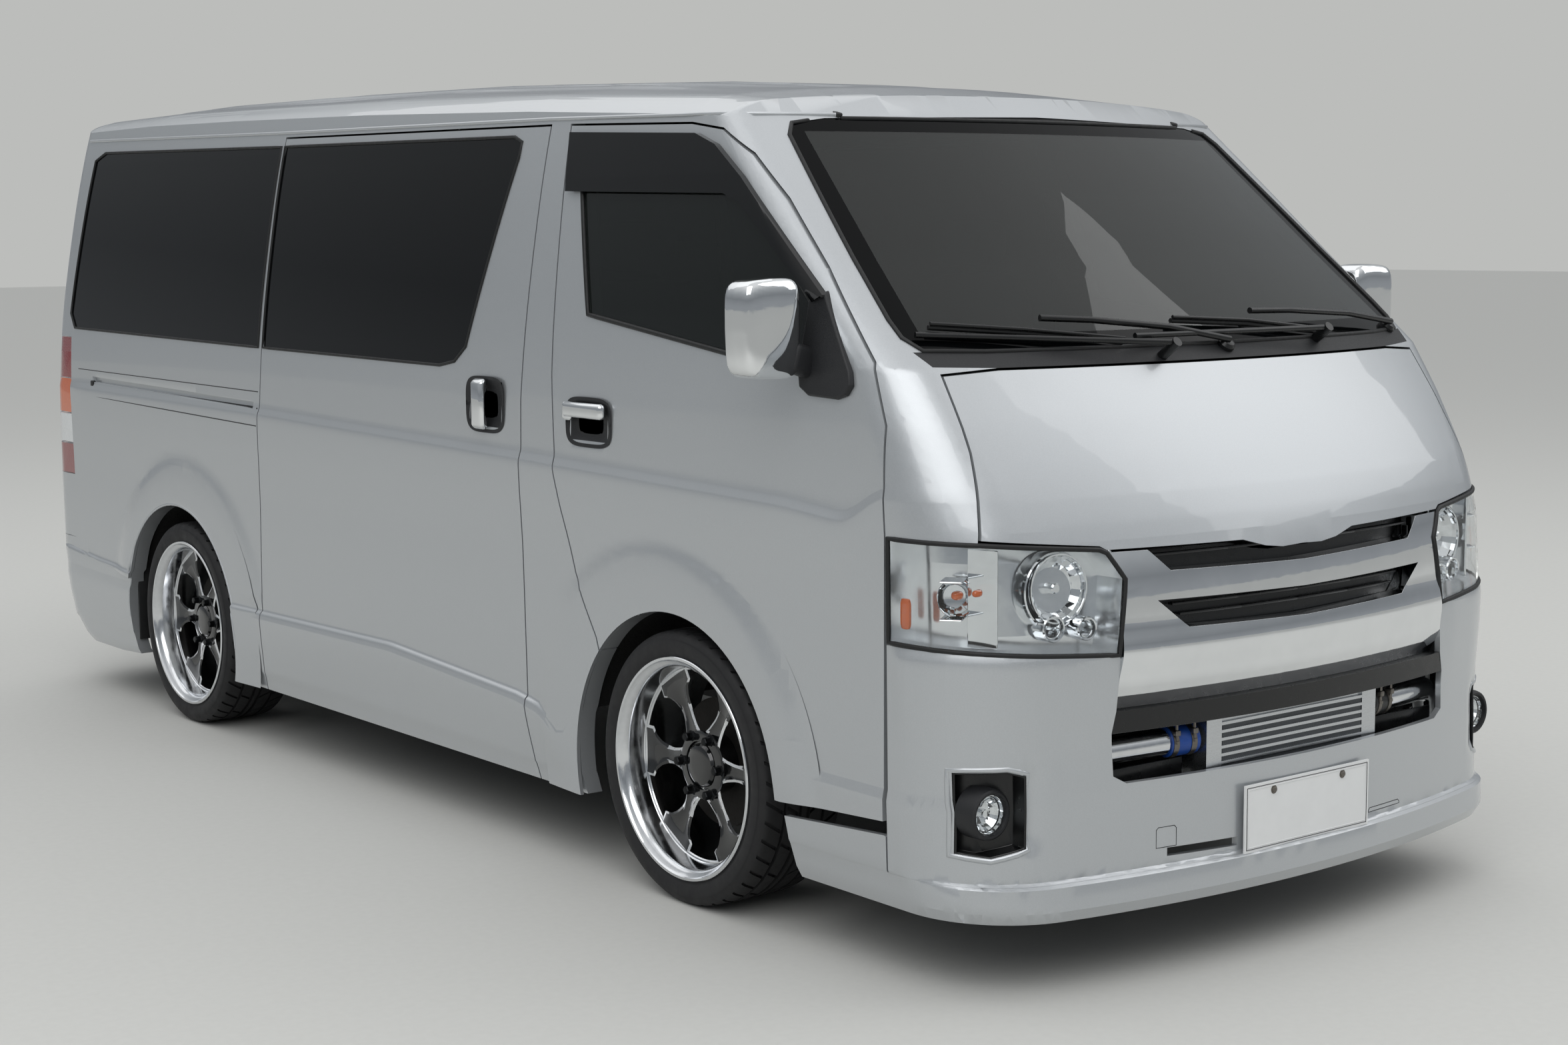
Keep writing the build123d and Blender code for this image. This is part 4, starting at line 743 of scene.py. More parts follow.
class VAN_OT_glass(bpy.types.Operator):
    """Windscreen, side and rear glass with their black seals"""
    bl_idname = "van.glass"
    bl_label = "Glass and seals"

    def execute(self, context):
        for name, ring, view, slot, radius in (
                ("screen", SCREEN, "front", "windscreen", 5),
                ("tailgate", TAILGATE_WINDOW, "rear", "tailgate_glass", 5),
                ("door_right", FRONT_WINDOW, "right", "door_glass_right", 6),
                ("door_left", FRONT_WINDOW, "left", "door_glass_left", 6),
                ("slider_right", SLIDING_WINDOW, "right", "sliding_door_glass", 4),
                ("slider_left", SLIDING_WINDOW, "left", "side_glass", 4),
                ("quarter_right", QUARTER_WINDOW, "right", "side_glass", 4),
                ("quarter_left", QUARTER_WINDOW, "left", "side_glass", 4)):
            lay("seal_" + name, wider(ring, 3.0), view, radius, "seal", slot, 0.0, 40, True)
        panel("windscreen", "screen_glass", across=steps(-700, 700, 100), up=LEVELS, bevel=0)
        for node in ("door_glass_right", "door_glass_left"):
            panel(node, "tinted_glass", up=LEVELS, bevel=0)
        for node in ("visor_right", "visor_left"):
            panel(node, "smoked", along=steps(-460, 480, 40), up=LEVELS, bevel=1.2)
        for node in ("sliding_door_glass", "side_glass"):
            panel(node, "dark_glass", up=LEVELS, bevel=0)
        panel("tailgate_glass", "dark_glass", across=steps(-600, 600, 100), up=LEVELS, bevel=0)
        return {"FINISHED"}


class VAN_OT_wheels(bpy.types.Operator):
    """Six-spoke wheels with a deep polished lip, nuts, caps and brake discs"""
    bl_idname = "van.wheels"
    bl_label = "Wheels"

    # Profiles as (outwards along the axle, radius), and a spoke's half width and face height by radius, in mm.
    BARREL = ((-110, 249), (-110, 236), (-60, 224), (-20, 214), (36, 212), (47, 212.5), (49.5, 215), (50, 218.5),
              (52, 220), (88, 224.5), (98, 228), (103, 233), (106, 238.5), (109, 240.5), (111, 242), (111, 247.5),
              (109.5, 249), (104.7, 249), (104.7, 243.5), (66, 237.5), (20, 229), (-20, 229), (-60, 236),
              (-104.7, 243.2), (-104.7, 249))
    HUB = ((-4, 0), (-4, 66), (30, 74), (46, 78), (50, 76), (51.5, 70), (52, 55), (48, 53.5), (44, 52), (44, 0))
    CAP = ((44, 0), (44, 50), (50, 49), (56, 44), (58.5, 36), (59.5, 20), (60, 0))
    DISC = ((-25.5, 145), (-5.5, 145), (-5.5, 64), (-2, 62), (-2, 0), (-25.5, 0))
    NUT = ((50, 0), (50, 14), (53, 12.5), (54, 10.5), (68, 10.0), (70, 8.5), (71, 0))
    TYRE = ((104.2, 243.5), (104.6, 250), (108.5, 256), (111.6, 266), (112.3, 276), (111.2, 285), (108, 293),
            (104.5, 297.5), (101, 301), (96, 303.6), (88, 305.2), (66, 306.2), (57, 306.4), (56, 299), (49, 299),
            (48, 306.6), (16, 306.9), (15, 299.5), (6, 299.5), (5, 306.9))
    SPOKE_WIDTH = ((44, 30), (62, 36), (74, 31), (90, 24), (112, 19.5), (140, 18), (165, 21), (185, 28), (203, 40),
                   (216, 58))
    SPOKE_FACE = ((44, 48), (80, 47), (120, 42), (160, 41), (190, 46), (216, 50))
    COLUMNS = (-1, -0.86, -0.62, -0.3, 0, 0.3, 0.62, 0.86, 1)     # of a spoke's grid, across
    NUT_CIRCLE = 69.8
    BLOCKS = 220              # segments of a tyre
    FINISH = ("polished", "gloss_black", "machined", "iron", "nuts")

    @classmethod
    def spoke(cls, edge):
        """One spoke along +Z, waisted in the middle, its face dished, with machined edges."""
        bm = bmesh.new()
        bmesh.ops.create_grid(bm, x_segments=8, y_segments=26, size=1.0)
        for v in bm.verts:
            t, r = cls.COLUMNS[round((v.co.x + 1) * 4)], 44 + (v.co.y + 1) / 2 * 172
            half = on_line(cls.SPOKE_WIDTH, r)
            across = t * half
            if abs(t) > 0.8:
                across = math.copysign(half - (0 if abs(t) > 0.9 else edge / MM), t)
            dip = 0.0 if abs(t) > 0.8 else 3.0 * (1 - (t / 0.86) ** 2)
            drop = 2.2 if abs(t) > 0.9 else 0.0
            bend = math.sqrt(max(r * r - across * across, 1.0))
            v.co = Vector(((on_line(cls.SPOKE_FACE, r) - dip - drop) * MM, across * MM, bend * MM))
        for f in bm.faces:
            outermost = max(abs(v.co.y) / MM - on_line(cls.SPOKE_WIDTH, v.co.length / MM) for v in f.verts)
            f.material_index = cls.FINISH.index("machined" if outermost > -0.6 else "gloss_black")
        bmesh.ops.solidify(bm, geom=bm.faces[:], thickness=24 * MM)
        return bm

    def rim(self, settings):
        bm = bmesh.new()
        for profile, count, finish in ((self.BARREL, 120, "polished"), (self.HUB, 72, "gloss_black"),
                                       (self.CAP, 48, "gloss_black"), (self.DISC, 72, "iron")):
            turned(bm, profile, count, self.FINISH.index(finish))
        for i in range(settings.spokes):
            one = self.spoke(settings.edge)
            bmesh.ops.recalc_face_normals(one, faces=one.faces)
            turn = Matrix.Rotation(math.tau * (i + 0.5) / settings.spokes, 4, "X")
            place(one, turn)
            turned(one, self.NUT, 6, self.FINISH.index("nuts"))
            nut = [v for v in one.verts if abs(v.co.y) < 0.016 and abs(v.co.z) < 0.016]
            place(one, turn @ moved((0, 0, self.NUT_CIRCLE * MM)), nut)
            join_into(bm, one)
        return bm

    def tyre(self, settings):
        """Low-profile tyre: straight grooves round it, slanted grooves on the shoulders."""
        bm = bmesh.new()
        turned(bm, list(self.TYRE) + [(-a, r) for a, r in reversed(self.TYRE)], self.BLOCKS)
        cuts = []
        for f in bm.faces:
            c = f.calc_center_median()
            r, a = math.hypot(c.y, c.z) / MM, abs(c.x) / MM
            k = int((math.atan2(c.z, c.y) % math.tau) / math.tau * self.BLOCKS)
            if r > 299.8 and ((a > 57 and k % 5 == 0) or (16 < a < 48 and k % 10 == 2)):
                cuts.append(f)
        pressed = bmesh.ops.extrude_face_region(bm, geom=cuts)
        bmesh.ops.delete(bm, geom=cuts, context="FACES")
        for v in verts_of(pressed):
            r = math.hypot(v.co.y, v.co.z)
            v.co.y *= (r - settings.groove) / r
            v.co.z *= (r - settings.groove) / r
        for v in bm.verts:
            r, a = math.hypot(v.co.y, v.co.z) / MM, abs(v.co.x) / MM
            if r > 290:
                v.co = Matrix.Rotation(0.0021 * max(a - 6, 0), 3, "X") @ v.co
        return bm

    def execute(self, context):
        settings = context.scene.van_wheels
        for end, along in (("front", 0.0), ("rear", WHEELBASE)):
            for word, side in SIDES:
                stand = moved(at(side * WHEEL_X, along, WHEEL_Z), 180 if side == RIGHT else 0)
                for kind, slot, bm, finish, angle in (("wheel", "rim", self.rim(settings), self.FINISH, 28),
                                                      ("tread", "tyre", self.tyre(settings), "tyre", 30)):
                    finish_mesh(f"{kind}_{end}_{word}", bm, finish, f"{slot}_{end}_{word}", stand, instead=True,
                                angle=angle)
        return {"FINISHED"}


class VAN_OT_handles(bpy.types.Operator):
    """Chrome door handles over black cups"""
    bl_idname = "van.handles"
    bl_label = "Handles"

    @staticmethod
    def cup(middle, size):
        """A black bowl sunk in the door: a grid drawn in to a rounded outline and pressed inwards."""
        bm = bmesh.new()
        bmesh.ops.create_grid(bm, x_segments=26, y_segments=20, size=1.0)
        wide, tall, deep = (v * MM for v in size)
        for v in bm.verts:
            u, w = v.co.x, v.co.y
            k = max(abs(u), abs(w)) / max((abs(u) ** 4 + abs(w) ** 4) ** 0.25, 1e-6)
            u, w = u * k, w * k
            edge = min(max((1 - max(abs(v.co.x), abs(v.co.y))) / 0.45, 0), 1)
            v.co = Vector((deep * edge * edge * (3 - 2 * edge), u * wide / 2, w * tall / 2))
        bmesh.ops.solidify(bm, geom=bm.faces[:], thickness=2.5 * MM)
        place(bm, moved(middle))
        return bm

    def execute(self, context):
        middle = Vector((on_body("right", 450, 1053).x - 0.003, at(0, 326, 0).y, 1.052))
        finish_pair("handle_cup", self.cup(middle, (186, 112, 9)), "trim", "door_{}")
        grip = soft_box((22, 158, 36), 10.5, 6)
        for v in grip.verts:
            v.co.x -= 0.010 * (1 - (v.co.y / 0.080) ** 2)
        place(grip, moved(middle + Vector((-0.008, 0.002, 0.026))))
        lock = soft_box((20, 34, 44), 9.0, 6)
        join_into(grip, lock, moved(middle + Vector((-0.005, 0.073, 0.022))))
        finish_pair("door_handle", grip, "chrome", "door_{}", angle=60)

        middle = Vector((on_body("right", 900, 1065).x - 0.003, at(0, 776, 0).y, 1.069))
        finish_mesh("slider_cup", self.cup(middle, (176, 134, 9)), "trim", "sliding_door")
        grip = soft_box((24, 50, 122), 11.5, 6)
        for v in grip.verts:
            v.co.x -= 0.012 * (1 - (v.co.z / 0.062) ** 2)
        finish_mesh("slider_handle", grip, "chrome", "sliding_door", moved(middle + Vector((-0.008, 0.006, 0))),
                    angle=60)
        return {"FINISHED"}


class VAN_OT_mirrors(bpy.types.Operator):
    """Door mirrors: chrome shells, black feet and silvered glass"""
    bl_idname = "van.mirrors"
    bl_label = "Mirrors"
    FOOT = ((-560, 1147), (-590, 1156), (-606, 1176), (-600, 1204), (-488, 1362), (-452, 1350), (-430, 1200),
            (-440, 1166), (-470, 1150))

    @staticmethod
    def shell_shape(co):
        """Flat at the back, narrower ahead and below, lower at its outer end."""
        taper = 1.0 - 0.10 * max(-co.y, 0) / 0.042 - 0.05 * max(-co.z, 0) / 0.1
        return Vector((co.x * taper, min(co.y, 0.030), co.z * (1.0 - 0.05 * max(-co.x, 0) / 0.075)))

    def execute(self, context):
        centre = at(-930, -437, 1287)
        for name, size, power, segments, rings, shape, back, finish, angle in (
                ("shell", (150, 86, 200), 6.0, 56, 40, self.shell_shape, 0.0, "chrome", 60),
                ("glass", (126, 4, 172), 3.6, 40, 16, None, 0.0315, "mirror", 40),
                ("rim", (140, 7, 188), 3.4, 40, 16, None, 0.029, "trim", 40)):
            finish_pair("mirror_" + name, egg(size, power, segments, rings, shape), finish, "mirror_{}",
                        moved(centre + Vector((0, back, 0))), instead=name == "shell", angle=angle)
        bm = bmesh.new()
        face = bm.faces.new([bm.verts.new(on_body("right", a, b)) for a, b in self.FOOT])
        out = Vector((-0.012, 0, 0))
        for v in verts_of(bmesh.ops.extrude_face_region(bm, geom=[face])):
            v.co += out
            v.co = v.co.lerp(face.calc_center_median() + out, 0.06)
        join_into(bm, soft_box((74, 46, 62), 16, 5), moved(at(-852, -458, 1222), 18, "Y"))
        for made in finish_pair("mirror_foot", bm, "trim", "mirror_{}"):
            round_edges(made, 3, 3)
        return {"FINISHED"}


class VAN_OT_lamps(bpy.types.Operator):
    """Headlamp reflectors, projectors and bulbs, fog lamps and their bezels"""
    bl_idname = "van.lamps"
    bl_label = "Lamps"
    OUTLINE = ((825, 682), (503, 659), (497, 700), (481, 805), (514, 857), (530, 864), (761, 884), (825, 887))
    AHEAD = Vector((-0.12, -1, 0.02))
    PROJECTORS = (((-622, -942, 716), 27, 18), ((-552, -962, 712), 24, 15))      # place, radius of ring and dome
    # Profiles as (ahead, radius), in mm.
    BOWL = ((0, 66), (-8, 62), (-24, 50), (-36, 34), (-42, 14), (-43, 0), (-46, 0), (-45, 16), (-38, 37),
            (-25, 54), (-8, 66), (0, 69), (4, 69), (4, 66))
    HOOD = ((-40, 0), (-40, 11), (-8, 11), (-5, 8), (-5, 0))
    HALO = ((-34, 78), (-6, 78), (0, 76), (2, 73), (0, 70), (-34, 70))
    SIDE_BOWL = ((0, 36), (-12, 33), (-26, 22), (-32, 0), (-35, 0), (-29, 25), (-13, 37), (0, 39), (2, 38))
    FOG_BEZEL = ((-40, 51), (0, 51), (8, 49), (11, 45), (10, 41), (2, 38), (-6, 37), (-6, 34), (-40, 34))
    FOG_BOWL = ((0, 37), (-10, 34), (-24, 22), (-30, 8), (-30, 0), (-32, 0), (-32, 10), (-26, 25), (-11, 36),
                (0, 38))
    FOG_HOOD = ((-30, 0), (-30, 9), (-12, 9), (-9, 7), (-9, 0))
    FOG_DOME = ((-1, 0), (-1, 37.5), (1, 37.5), (5, 30), (7.5, 16), (8, 0))
    FOG_X, FOG_Z, FOG_END = -758, 366, -911.5       # the fog lamp's axis and the end of its barrel

    def fog_lamps(self):
        barrel_end = at(0, self.FOG_END, 0).y
        panel("fog_lamps", "satin_black", bevel=1.5, shape=False,
              trim=lambda f: f.normal.y < -0.9 and abs(f.calc_center_median().y - barrel_end) < 0.002)
        reflector = spun(self.FOG_BOWL, 24)
        join_into(reflector, spun(self.FOG_HOOD, 20))
        for name, bm, along, finish, angle in (("bezel", spun(self.FOG_BEZEL, 48), -908, "trim", 32),
                                               ("reflector", reflector, -909, "chrome", 8),
                                               ("lens", spun(self.FOG_DOME, 40), -910, "clear", 32)):
            finish_pair("fog_" + name, bm, finish, "fog_lamps", facing(at(self.FOG_X, along, self.FOG_Z), (0, -1, 0)),
                        angle=angle)

    def execute(self, context):
        bm = bmesh.new()
        main = at(-598, -930, 790)
        for profile, count, spot, normal in (
                (self.BOWL, 26, main, self.AHEAD), (self.HOOD, 20, main, self.AHEAD),
                (self.HALO, 64, at(-602, -928, 786), self.AHEAD),
                *((((-30, r), (2, r), (5, r - 2), (4, r - 5), (-4, r - 7), (-4, r - 9), (-30, r - 9)), 40,
                   at(*spot), self.AHEAD) for spot, r, _ in self.PROJECTORS)):
            join_into(bm, spun(profile, count), facing(spot, normal))
        for spot, size, turn in (((-742, -873, 778), (5, 62, 190), 24), ((-790, -842, 742), (62, 44, 4), 38),
                                 ((-790, -842, 815), (62, 44, 4), 38)):
            join_into(bm, soft_box(size, 1.8, 2), moved(at(*spot), turn))
        join_into(bm, spun(self.SIDE_BOWL, 18), facing(at(-775, -835, 779), (-0.55, -0.83, 0)))
        finish_pair("lamp_reflectors", bm, "chrome", "headlamp_housings", angle=6)
        lenses = bmesh.new()
        for spot, _, r in self.PROJECTORS:
            dome = ((-6, 0), (-6, r), (0, r * 0.92), (4, r * 0.7), (7, r * 0.35), (8, 0))
            join_into(lenses, spun(dome, 32), facing(at(*spot), self.AHEAD))
        finish_pair("lamp_projectors", lenses, "clear", "headlamp_lenses")
        bulbs = bmesh.new()
        for spot, size, power in (((-783, -846, 786), (26, 18, 18), 2.4), ((-752, -868, 789), (22, 14, 14), 2.4),
                                  ((-831, -752, 744), (8, 26, 60), 6.0)):
            join_into(bulbs, egg(size, power, 20, 12), moved(at(*spot)))
        finish_pair("lamp_bulbs", bulbs, "amber", "headlamp_housings")
        for word, side in SIDES:
            ring = outline_on_body([(side * x, z) for x, z in self.OUTLINE], "front", 0.5, 20, closed=False)
            ring += outline_on_body(((-770, 888), (-718, 889), (-718, 685), (-770, 684)), word, 0.5, 20, closed=False)
            tube("lamp_seal_" + word, ring, 5.0, "seal", "headlamp_housings", closed=True)
            inner = [(side * x, z) for x, z in wider(self.OUTLINE, -16.0)]
            for part, run, r in (("top", inner[4:], 4.5), ("foot", inner[:2], 4.5), ("end", inner[1:5], 3.5)):
                lay(f"lamp_frame_{part}_{word}", run, "front", r, "chrome", "headlamp_housings", -13.0, 20)
        self.fog_lamps()
        return {"FINISHED"}


class VAN_OT_nose(bpy.types.Operator):
    """Number plate, intercooler fins, hoses and clamps, grille bars, wipers and nose gaps"""
    bl_idname = "van.nose"
    bl_label = "Nose fittings"
    FOG_RECESS = ((702, 298), (760, 280), (806, 288), (806, 446), (733, 450), (700, 440))
    PLATE_BOLT = ((-2, 0), (-2, 9), (0.5, 9), (1, 6.5), (3.5, 6), (5, 4), (5.5, 0))
    WIPER_CAP = ((-14, 0), (-14, 19), (8, 19), (15, 14), (18, 6), (18, 0))
    SLEEVE = ((0, 27.4), (0, 31), (2, 32), (68, 32), (70, 31), (70, 27.4))
    SCREW = ((-20, 0), (-20, 3), (20, 3), (20, 5.5), (26, 5.5), (26, 0))
    FIN_ROWS, FIN_FOLDS = 6, 148

    def plate(self):
        low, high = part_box("number_plate")
        front = low.y

        def loop(inset, back):
            left, right, foot, top = low.x + inset, high.x - inset, low.z + inset, high.z - inset
            return [Vector((x, front + back, z)) for x, z in ((left, foot), (right, foot), (right, top), (left, top))]

        tube("plate_rim", loop(0.010, 0.0005), 1.6, "white_plate", "number_plate", closed=True)
        bolts = bmesh.new()
        for x in (-108, 108):
            join_into(bolts, spun(self.PLATE_BOLT, 24), facing(Vector((x * MM, front, high.z - 0.019)), (0, -1, 0)))
        finish_mesh("plate_bolts", bolts, "steel", "number_plate")
        for name, (x0, z0, x1, z1) in (("tow_cover", (-412, 264, -362, 305)),
                                       ("bumper_patch", (218, 241, 337, 250))):
            ring = ((x0, z0), (x1, z0), (x1, z1 - 5), (x1 - 5, z1), (x0 + 5, z1), (x0, z1 - 5))
            lay(name + "_gap", ring, "front", 1.1, "seal", "front_bumper", -0.5, 30, True)
        tube("plate_border", loop(0.006, 0), 1.0, "trim", "number_plate", closed=True)

    def openings(self):
        """Slats between the grille bars, the dark wall behind the intake and the lips of the fog lamp recesses."""
        slats = bmesh.new()
        for z, half in ((843, 395), (862, 415), (722, 330), (743, 350)):
            line = [on_body("front", x, z - 70 if z > 800 else z - 90) for x in (0, half / 2, half)]
            line = [Vector((-p.x, p.y, p.z)) for p in reversed(line)] + line[1:]
            for a, b in zip(line, line[1:]):
                slat = soft_box((abs(b.x - a.x) / MM + 2, 14, 5), 1.8, 2)
                middle = (a + b) / 2
                middle.z = z * MM
                tilt = math.atan2(b.y - a.y, b.x - a.x)
                join_into(slats, slat, moved(middle + Vector((0, 0.034, 0)))
                          @ Matrix.Rotation(tilt, 4, "Z"))
        finish_mesh("grille_slats", slats, "satin_black", "grille_backing")
        backing = soft_box((1000, 6, 170), 2.0, 2)
        place(backing, moved(at(0, -912, 468)))
        for _, side in SIDES:
            join_into(backing, soft_box((236, 8, 46), 2.0, 2), moved(at(side * 402, -966, 400)))
        finish_mesh("intake_backing", backing, "satin_black", "front_bumper")
        for word, side in SIDES:
            ring = wider([(side * x, z) for x, z in self.FOG_RECESS], 5.0)
            lay("fog_recess_lip_" + word, ring, "front", 7.0, "silver", "front_bumper", -3.5, 20, True)

    def wipers(self):
        for name, path in (("right", ((-688, 1281), (-498, 1266), (-273, 1243))),
                           ("left", ((-100, 1280), (120, 1268), (376, 1240)))):
            blade = lay("wiper_blade_" + name, path, "front", 5.5, "seal", "wipers", 9.0, 40)
            spine = [p + Vector((0, -0.006, 0.008)) for p in blade]
            tube("wiper_spine_" + name, spine, 4.0, "satin_black", "wipers")
        for name, hub, elbow in (("right", (11, 1232), (-440, 1286)), ("left", (688, 1246), (150, 1286))):
            foot, n = touch("front", *hub)
            top, m = touch("front", *elbow)
            run = [foot + n * 0.020, foot.lerp(top, 0.35) + n * 0.034, foot.lerp(top, 0.75) + m * 0.030,
                   top + m * 0.020]
            tube("wiper_arm_" + name, run, 7.0, "satin_black", "wipers")
            finish_mesh("wiper_pivot_" + name, spun(self.WIPER_CAP, 40), "satin_black", "wipers", facing(foot, n))

    def cooler(self):
        fins = bmesh.new()
        for row in range(self.FIN_ROWS):
            strip = bmesh.new()
            bmesh.ops.create_grid(strip, x_segments=self.FIN_FOLDS, y_segments=1, size=1.0)
            for v in strip.verts:
                fold = round((v.co.x + 1) * self.FIN_FOLDS / 2)
                v.co = at(v.co.x * 221, -1017 if fold % 2 else -1012.2, 400 + 16 * row + v.co.y * 5)
            join_into(fins, strip)
        finish_mesh("cooler_fins", fins, "fins", "intercooler", angle=20, recalc=False)
        run = facing(at(-271, -982, 462), Vector((-269, 47, -7)).normalized())
        for word, side, colour in (("right", 1, "blue_hose"), ("left", -1, "black_hose")):
            own = Matrix.Scale(side, 4, (1, 0, 0)) @ run
            finish_mesh("cooler_hose_" + word, spun(self.SLEEVE, 48), colour, "intercooler_pipes", own, angle=40)
            clamps = bmesh.new()
            for a in (10, 54):
                band = ((a, 32), (a, 33.4), (a + 13, 33.4), (a + 13, 32))
                join_into(clamps, spun(band, 48), own)
                middle = (a + 6.5) * MM
                join_into(clamps, soft_box((13, 16, 12), 2.5, 3), own @ moved((middle, 0.030, 0.022)))
                join_into(clamps, spun(self.SCREW, 6), own @ moved((middle, 0.032, 0.026), 90, "Y"))
            finish_mesh("cooler_clamps_" + word, clamps, "steel", "intercooler_pipes", angle=30)

    def execute(self, context):
        for part in (self.plate, self.openings, self.wipers, self.cooler):
            part()
        return {"FINISHED"}


class VAN_OT_tail(bpy.types.Operator):
    """Tail lamp sections, tailgate handle, plate, wiper, stop lamp and reflectors"""
    bl_idname = "van.tail"
    bl_label = "Tail"
    SECTIONS = (("upper", 996, 1148, "red_lens"), ("amber", 888, 992, "amber"), ("clear", 800, 884, "lamp_white"),
                ("lower", 702, 796, "red_lens"))
    WIPER_HUB = ((-26, 0), (-26, 17), (4, 17), (10, 12), (12, 0))

    def lamp(self, name, z0, z1, finish, word, side):
        """One section of a tail lamp, cut from the whole between two heights."""
        bm = copy_of("tail_lamps")
        for z, keep in ((z0, 1), (z1, -1)):
            cut = bmesh.ops.bisect_plane(bm, geom=bm.verts[:] + bm.edges[:] + bm.faces[:], dist=1e-6,
                                         plane_co=at(0, 0, z), plane_no=(0, 0, keep), clear_inner=True)
            bmesh.ops.holes_fill(bm, edges=[e for e in cut["geom_cut"] if isinstance(e, bmesh.types.BMEdge)])
        bmesh.ops.delete(bm, geom=[v for v in bm.verts if side * v.co.x < 0], context="VERTS")
        for v in bm.verts:
            v.co = fuller(v.co)
        round_edges(finish_mesh(f"tail_lamp_{name}_{word}", bm, finish, "tail_lamps", instead=name == "upper"), 5, 4)

    def execute(self, context):
        def on_tail(x, z, out=0.0):
            return on_body("rear", x, z, out)

        for word, side in SIDES:
            for section in self.SECTIONS:
                self.lamp(*section, word, side)
            lay("tail_lamp_edge_" + word, ((side * 700, 702), (side * 700, 1148)), "rear", 2.5, "seal", "tail_lamps",
                1.0, 60)
        for name, size, rounding, segments, spot, finish in (
                ("tailgate_garnish", (620, 24, 62), 10, 5, (0, 1086, 6), "chrome"),
                ("tailgate_pull", (360, 14, 22), 6, 4, (0, 1052, 14), "trim")):
            finish_mesh(name, soft_box(size, rounding, segments), finish, "tailgate", moved(on_tail(*spot)))
        lights = bmesh.new()
        for x in (-150, 150):
            join_into(lights, soft_box((46, 12, 16), 4, 3), moved(on_tail(x, 1040, 10)))
        finish_mesh("plate_lights", lights, "lamp_white", "tailgate")
        finish_mesh("rear_plate", soft_box((392, 4, 142), 1.6, 2), "white_plate", "number_plate",
                    moved(on_tail(0, 930, 4)), body="tailgate")
        corners = [on_tail(x, z, 4) for x, z in ((-198, 857), (198, 857), (198, 1003), (-198, 1003))]
        tube("rear_plate_frame", corners, 3.0, "trim", "tailgate", closed=True)
        finish_mesh("high_stop_lamp", soft_box((300, 20, 26), 7, 4), "red_lens", "tailgate",
                    moved(on_tail(0, 1738, 6)))
        hub, tip = on_tail(150, 1205, 16), on_tail(-250, 1262, 12)
        finish_mesh("rear_wiper_hub", spun(self.WIPER_HUB, 32), "trim", "tailgate", facing(hub, (0, 1, 0.1)))
        tube("rear_wiper_arm", [hub, hub.lerp(tip, 0.5) + Vector((0, 0.012, 0.004)), tip], 5, "satin_black",
             "tailgate")
        tube("rear_wiper_blade", [on_tail(-60, 1236, 5), on_tail(-420, 1286, 5)], 5, "seal", "tailgate")
        reflectors = bmesh.new()
        for _, side in SIDES:
            p, n = touch("rear", side * 640, 330)
            join_into(reflectors, soft_box((8, 86, 38), 3, 3), facing(p + n * 2 * MM, n))
        finish_mesh("bumper_reflectors", reflectors, "red_lens", "rear_bumper")
        finish_mesh("bumper_step_pad", soft_box((1260, 62, 7), 3, 3), "trim", "rear_bumper",
                    moved(on_tail(0, 440) + Vector((0, -0.038, 0.040))))
        return {"FINISHED"}


class VAN_OT_seats(bpy.types.Operator):
    """Padded seats in woven cloth"""
    bl_idname = "van.seats"
    bl_label = "Seats"
    BASE, FILL = 780, 0.8

    def seat(self, x0, x1, along, top, places):
        """Cushions, backs and head rests of the places side by side between x0 and x1."""
        bm = bmesh.new()
        wide = x1 - x0
        for i in range(places):
            x = x0 + wide * (i + 0.5) / places
            span = wide / places - 8
            for block, spot, lean in (
                    (egg((span, 480, 130), 5.0, 40, 20), (x, along + 245, self.BASE + 72), 3),
                    (egg((span * 0.96, 100, top - self.BASE - 150), 4.5, 40, 24),
                     (x, along + 540, (self.BASE + top) / 2 + 10), -8),
                    (egg((230, 74, 120), 3.5, 28, 16), (x, along + 578, top + 12), 0)):
                join_into(bm, block, moved(at(*spot), lean, "X"))
        return bm

    def execute(self, context):
        front, rear = self.seat(-740, -345, -20, 1430, 1), bmesh.new()
        join_into(front, mirrored(front))
        for along in (900, 1700, 2480):
            join_into(rear, self.seat(-540, 540, along, 1380, 2))
        for name, bm in (("front", front), ("rear", rear)):
            finish_mesh(name + "_seat_pads", bm, "seat_cloth", name + "_seats", instead=True)
        return {"FINISHED"}


class VAN_OT_finishes(bpy.types.Operator):
    """Materials of every piece and of the CAD nodes that stay"""
    bl_idname = "van.finishes"
    bl_label = "Finishes"

    KEPT = {"underseal": ("floor",), "trim": ("cowl", "steering_wheel"), "dash": ("dashboard",),
            "satin_black": ("grille_backing", "lower_band", "wipers", "chassis_frame", "fuel_tank"),
            "white_plate": ("number_plate",), "brushed": ("intercooler",), "polished": ("intercooler_pipes",),
            "chrome": ("mirror_right", "mirror_left"), "steel": ("exhaust",),
            "iron": ("engine", "knuckle_right", "knuckle_left", "rear_axle"),
            "clear": ("headlamp_lenses",), "lamp_bowl": ("headlamp_housings",),
            "seat_cloth": ("front_seats", "rear_seats")}

    def execute(self, context):
        make_materials()
        for finish, nodes in self.KEPT.items():
            for node in nodes:
                NODES[node].data.materials.clear()
                NODES[node].data.materials.append(PAINT[finish])
        return {"FINISHED"}


